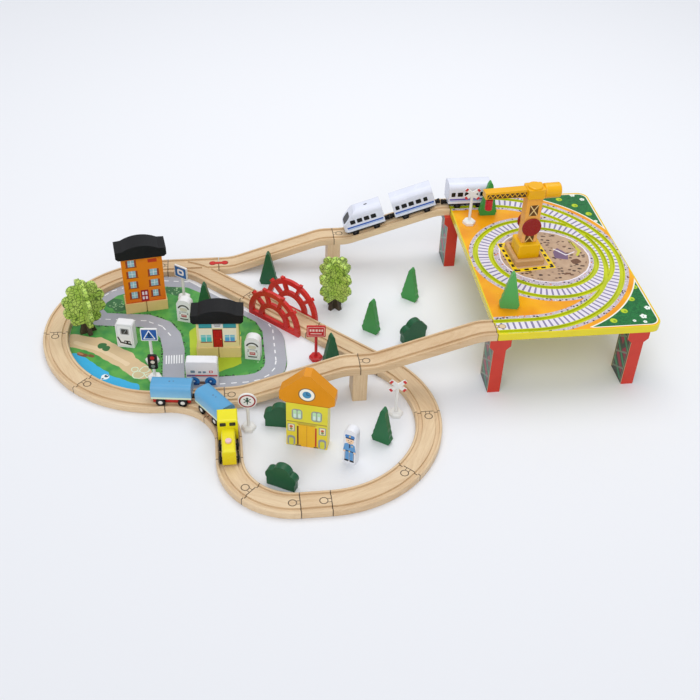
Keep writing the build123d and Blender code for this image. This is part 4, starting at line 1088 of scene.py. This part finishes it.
paint("crane_base", "craneTrayTan", trayGrain, gloss=0.36, wear=(236, 210, 170), wearShare=0.4)
print("crane dressed")


# trains
ramp = {"startX": -105, "low": 91.5, "rise": 53, "run": 162}
train = {"bed": 12, "wagonPitch": 79, "wagonBack": 22, "axleHalf": 17}


def railAt(x):
    return ramp["low"] + (x - ramp["startX"]) * ramp["rise"] / ramp["run"]


wagonRide = math.sqrt(layout["smallR"] ** 2 - train["axleHalf"] ** 2)


def wagonSpot(count):
    angle = math.degrees((count * train["wagonPitch"] - train["wagonBack"]) / layout["smallR"])
    cosine, sine = heading(angle)
    return layout["loopX"] + wagonRide * cosine, layout["smallY"] + wagonRide * sine, train["bed"], angle - 90, 0


cars = {
    "express_loco": (-150, 384, railAt(-150), 0, -layout["slope"]),
    "express_middle": (-60, 384, railAt(-60), 0, -layout["slope"]),
    "express_tail": (33, 384, 118, 0, 0),
    "freight_loco": (-417, -97, 12, -90, 0),
    "freight_wagon_1": wagonSpot(1),
    "freight_wagon_2": wagonSpot(2),
}
wheelSpots = {
    "express": {"front": -20, "rear": 20, "up": 3.3, "r": 6},
    "freight_loco": {"front": 26, "rear": 0, "up": 5.8, "r": 8.5},
    "freight_wagon": {"front": 17, "rear": -17, "up": 4.8, "r": 7.5},
}


def expressPrint(car):
    def painter():
        u, depth, v = axesAt(*cars[car])
        tall = 9.6
        side = frontOf(depth, 17)
        spots = [(-29.5, 6.6), (-17, 9), (-4, 9), (9.6, 9), (22.6, 6.6)]
        if car == "express_loco":
            spots = [(-19, 8.6), (-6, 9), (7, 9), (20, 9)]
        stripe = (96, 84, 184) if car == "express_tail" else (36, 88, 182)
        start = -33 if car == "express_loco" else -36
        colour = printOver(u, v, (220, 224, 238), [
            (stripe, [("box", (start + 36) / 2, tall + 8.6, 36 - start, 3, 0, 1)]),
            ((150, 182, 226), [("box", (start + 36) / 2, tall + 5.6, 36 - start, 1.6, 0, 0.6)]),
            ((9, 9, 12), [("box", at, tall + 18.5, wide + 0.8, 8.6, 0, 1.6) for at, wide in spots]),
        ], side)
        if car == "express_loco":
            nose = (u < -19) * (abs(depth) < 13)
            colour = printOver(depth, v, colour, [((9, 9, 12), [("box", 0, tall + 21, 23, 12, 0, 4)])], nose)
            colour = printOver(u, depth, colour, [((12, 12, 15), [("box", 12, -2, 6, 3, 0, 1)])], v > tall + 36)
        return colour
    return painter


def loadPrint(car):
    def painter():
        u, depth, v = axesAt(*cars[car])
        colour = tint(ramped(v, 14, 36), (128, 180, 208), (92, 160, 204))
        colour = tint(v < 16.2, colour, (206, 222, 192))
        colour = tint((abs(u) > 30.6) * 0.6, colour, (84, 140, 186))
        roof = v > 34
        return printOver(u, depth, colour, [((90, 120, 150), [("disc", -3, 0, 1.4), ("disc", 3, 0.6, 1.1)])], roof)
    return painter


def locoPrint():
    u, depth, v = axesAt(*cars["freight_loco"])
    colour = tint(ramped(v, 4, 44), (222, 200, 20), (232, 222, 26))
    cabSide = frontOf(depth, 15) * (u < -10)
    colour = printOver(u, v, colour, [((40, 42, 46), [("box", -24.5, 33, 15, 11, 0, 2)]), ((206, 60, 34),
        [("box", -24.5, 22, 22, 2.4, 0, 0.8)])], cabSide)
    bonnetSide = frontOf(depth, 10) * (u > -10)
    colour = printOver(u, v, colour, [((196, 170, 20), [("box", at, 22, 1.4, 9, 0, 0.6) for at in (4, 8, 12, 16)])],
        bonnetSide)
    cabEnd = (abs(u + 24.5) > 13.1) * (u < -10)
    colour = printOver(depth, v, colour, [((40, 42, 46), mirrored("box", 7, 36.5, 9, 7, 0, 1.6))], cabEnd)
    dowel = shapeMask(u, depth, ("disc", 18, 0, 4.7))
    colour = tint(dowel * (v > 30.2), colour, (232, 190, 196))
    return tint(u < -38.05, colour, (34, 32, 36))


def wheelsOf(car):
    return next(sizes for kind, sizes in wheelSpots.items() if car.startswith(kind))


def wheelPrint(car, end, hub):
    def painter():
        sizes = wheelsOf(car)
        u, _, v = axesAt(*cars[car])
        return printOver(u, v, (12, 12, 14), hub(sizes[end], sizes["up"], sizes["r"]))
    return painter


def whiteHub(at, up, radius):
    return [((54, 54, 58), [("ring", at, up, radius * 0.66, 0.5)]), ((232, 230, 224),
        [("disc", at, up, radius * 0.46)]), ((120, 118, 116), [("disc", at, up, 1.1)])]


def darkHub(at, up, radius):
    return [((46, 46, 50), [("ring", at, up, radius * 0.66, 0.5)]), ((96, 96, 100), [("disc", at, up, 1.5)])]


def chassisPrint(car, tone):
    # the couplers past the chassis ends have black arms and steel magnets, and all of it is painted black
    def painter():
        u, _, _ = axesAt(*cars[car])
        past = 34.05 if car.startswith("express") else 29.05
        return tint(abs(u) > past, tone, (14, 14, 16))
    return painter


for car in cars:
    if car.startswith("express"):
        paint(car + "_shell", car + "White", expressPrint(car), gloss=0.26, grain=0, wear=(200, 200, 210),
            wearShare=0.15, coat=0.2, shine=0.25)
        paint(car + "_chassis", car + "Chassis", chassisPrint(car, (15, 15, 17)), gloss=0.45, grain=0,
            wear=(70, 70, 74), wearShare=0.2, coat=0, shine=0.2)
    elif car == "freight_loco":
        paint("freight_loco_body", "locoYellow", locoPrint, gloss=0.26, grain=0.15, wear=(244, 232, 150),
            wearShare=0.35, coat=0.35)
    else:
        paint(car + "_load", car + "Blue", loadPrint(car), gloss=0.3, grain=0.2, wear=(210, 226, 230), wearShare=0.35,
            coat=0.25)
        paint(car + "_chassis", car + "Red", chassisPrint(car, (192, 44, 38)), gloss=0.32, grain=0.1,
            wear=(226, 160, 130), wearShare=0.3)
    for end in ("front", "rear"):
        hub = whiteHub if car.startswith("freight_wagon") else darkHub
        paint(f"{car}_{end}_wheels", f"{car}{end.title()}Wheels", wheelPrint(car, end, hub), gloss=0.42, grain=0,
            wear=(80, 80, 82), wearShare=0.2, coat=0.05, shine=0.2)
print("trains dressed")


# small fittings
wheelCap = {"rim": 0.45, "rise": 0.8, "steps": 28, "gauge": 13, "halfWheel": 1.5}


def finishPiece(mesh, name, body, material):
    bmesh.ops.remove_doubles(mesh, verts=mesh.verts, dist=1e-6)
    bmesh.ops.recalc_face_normals(mesh, faces=mesh.faces)
    for face in mesh.faces:
        face.smooth = True
    data = bpy.data.meshes.new(name)
    mesh.to_mesh(data)
    mesh.free()
    piece = bpy.data.objects.new(name, data)
    bpy.context.scene.collection.objects.link(piece)
    data.materials.append(material)
    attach(piece, body)


def carPlace(car):
    x, y, z, turn, lean = cars[car]
    turned = Matrix.Rotation(math.radians(turn), 4, "Z") @ Matrix.Rotation(math.radians(lean), 4, "Y")
    return Matrix.Translation(metres(x, y, z)) @ turned @ Matrix.Scale(0.001, 4)


def addWheelCaps(car, end, material):
    sizes = wheelsOf(car)
    radius = sizes["r"] * wheelCap["rim"]
    mesh = bmesh.new()
    for side in (-1, 1):
        rise = wheelCap["rise"]
        outline = [(0, rise), (radius * 0.32, rise * 0.95), (radius * 0.4, rise * 0.6), (radius * 0.82, rise * 0.55),
            (radius, rise * 0.2), (radius, -0.15)]
        face = wheelCap["gauge"] + wheelCap["halfWheel"]
        made = [mesh.verts.new((across, side * (face + out), 0)) for across, out in outline]
        edges = [mesh.edges.new(pair) for pair in zip(made, made[1:])]
        bmesh.ops.spin(mesh, geom=made + edges, cent=(0, 0, 0), axis=(0, 1, 0), angle=2 * math.pi,
            steps=wheelCap["steps"], use_merge=True)
    bmesh.ops.translate(mesh, verts=mesh.verts, vec=(sizes[end], 0, sizes["up"]))
    bmesh.ops.holes_fill(mesh, edges=[edge for edge in mesh.edges if edge.is_boundary])
    bmesh.ops.transform(mesh, matrix=carPlace(car), verts=mesh.verts)
    finishPiece(mesh, f"{car}_{end}_caps", f"{car}_{end}_axle", material)


capWhite = lacquered("capWhite", (226, 224, 218), gloss=0.3, grain=0, wear=(120, 118, 114), wearShare=0.3)
capDark = lacquered("capDark", (48, 48, 52), gloss=0.34, grain=0, wear=(120, 120, 124), wearShare=0.3)
for car in cars:
    for end in ("front", "rear"):
        addWheelCaps(car, end, capWhite if car.startswith("freight_wagon") else capDark)


def addWeightEye():
    # a small steel eye stands in the weight's top, under the jib
    eye = {"ring": 1.15, "wire": 0.4, "stem": 0.5}
    low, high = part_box("hoist_weight")
    mesh = bmesh.new()
    loop = bmesh.ops.create_circle(mesh, cap_ends=False, segments=12, radius=eye["wire"])["verts"]
    bmesh.ops.translate(mesh, verts=loop, vec=(eye["ring"], 0, 0))
    edges = list({edge for vert in loop for edge in vert.link_edges})
    bmesh.ops.spin(mesh, geom=loop + edges, cent=(0, 0, 0), axis=(0, 1, 0), angle=2 * math.pi, steps=32,
        use_merge=True)
    bmesh.ops.translate(mesh, verts=mesh.verts, vec=(0, 0, eye["ring"] + eye["wire"] * 0.6))
    stem = bmesh.ops.create_cone(mesh, cap_ends=True, segments=16, radius1=eye["stem"] * 1.8, radius2=eye["stem"],
        depth=0.7)["verts"]
    bmesh.ops.translate(mesh, verts=stem, vec=(0, 0, 0.25))
    spot = Matrix.Translation(((low[0] + high[0]) / 2, (low[1] + high[1]) / 2,
        high[2])) @ Matrix.Rotation(math.radians(crane["turn"]), 4, "Z")
    bmesh.ops.transform(mesh, matrix=spot @ Matrix.Scale(0.001, 4), verts=mesh.verts)
    steel = lacquered("eyeSteel", (170, 172, 176), gloss=0.28, grain=0, wear=(210, 210, 212), wearShare=0.3,
        metallic=0.9)
    finishPiece(mesh, "hoist_eye", "crane_weight", steel)


addWeightEye()
print("fittings added")


# floor, light and camera
studio = {
    "floor": (0.80, 0.815, 0.85, 1), "floorSize": 60, "air": (0.93, 0.95, 1, 1), "airStrength": 0.55,
    "lens": 51.96, "sensor": 36, "cameraAt": (-402.7, -1165.9, 1069.3), "pitch": 39.29, "yaw": 8.52, "roll": 2.14,
}


def makeFloor():
    mesh = bmesh.new()
    bmesh.ops.create_grid(mesh, x_segments=1, y_segments=1, size=studio["floorSize"])
    data = bpy.data.meshes.new("studioFloor")
    mesh.to_mesh(data)
    mesh.free()
    floor = bpy.data.objects.new("studioFloor", data)
    bpy.context.scene.collection.objects.link(floor)
    material, shader = startMaterial("paleFloor")
    setAll(shader, {"Base Color": studio["floor"], "Roughness": 0.9, "Specular IOR Level": 0.1})
    data.materials.append(material)


def addLight(name, kind, energy, where, aim, size=1, tone=(1, 1, 1)):
    data = bpy.data.lights.new(name, kind)
    data.energy = energy
    data.color = tone
    if kind == "AREA":
        data.shape = "DISK"
        data.size = size
    else:
        data.angle = size
    lamp = bpy.data.objects.new(name, data)
    lamp.location = where
    lamp.rotation_euler = (Vector(aim) - Vector(where)).to_track_quat("-Z", "Y").to_euler()
    bpy.context.scene.collection.objects.link(lamp)


def makeCamera():
    pitch, yaw, roll = (math.radians(studio[label]) for label in ("pitch", "yaw", "roll"))
    ahead = Vector((math.sin(yaw), math.cos(yaw), 0))
    right = Vector((math.cos(yaw), -math.sin(yaw), 0))
    forward = ahead * math.cos(pitch) - Vector((0, 0, math.sin(pitch)))
    up = ahead * math.sin(pitch) + Vector((0, 0, math.cos(pitch)))
    rolledRight = right * math.cos(roll) + up * math.sin(roll)
    rolledUp = up * math.cos(roll) - right * math.sin(roll)
    data = bpy.data.cameras.new("studioCamera")
    data.lens = studio["lens"]
    data.sensor_width = studio["sensor"]
    camera = bpy.data.objects.new("studioCamera", data)
    turn = Matrix((rolledRight, rolledUp, -forward)).transposed()
    camera.matrix_world = Matrix.Translation(metres(*studio["cameraAt"])) @ turn.to_4x4()
    bpy.context.scene.collection.objects.link(camera)
    bpy.context.scene.camera = camera


makeFloor()
addLight("bigSoftbox", "AREA", 26, (0.3, 0.7, 2.3), (0, 0, 0), 2, (1, 0.99, 0.97))
addLight("frontFill", "SUN", 1.25, (-0.6, -1.9, 1.7), (0, 0, 0), 1, (1, 0.99, 0.98))
world = bpy.data.worlds.new("studioAir")
world.use_nodes = True
setAll(world.node_tree.nodes["Background"], {"Color": studio["air"], "Strength": studio["airStrength"]})
bpy.context.scene.world = world
bpy.context.scene.view_settings.view_transform = "Standard"
makeCamera()
print("stage set")
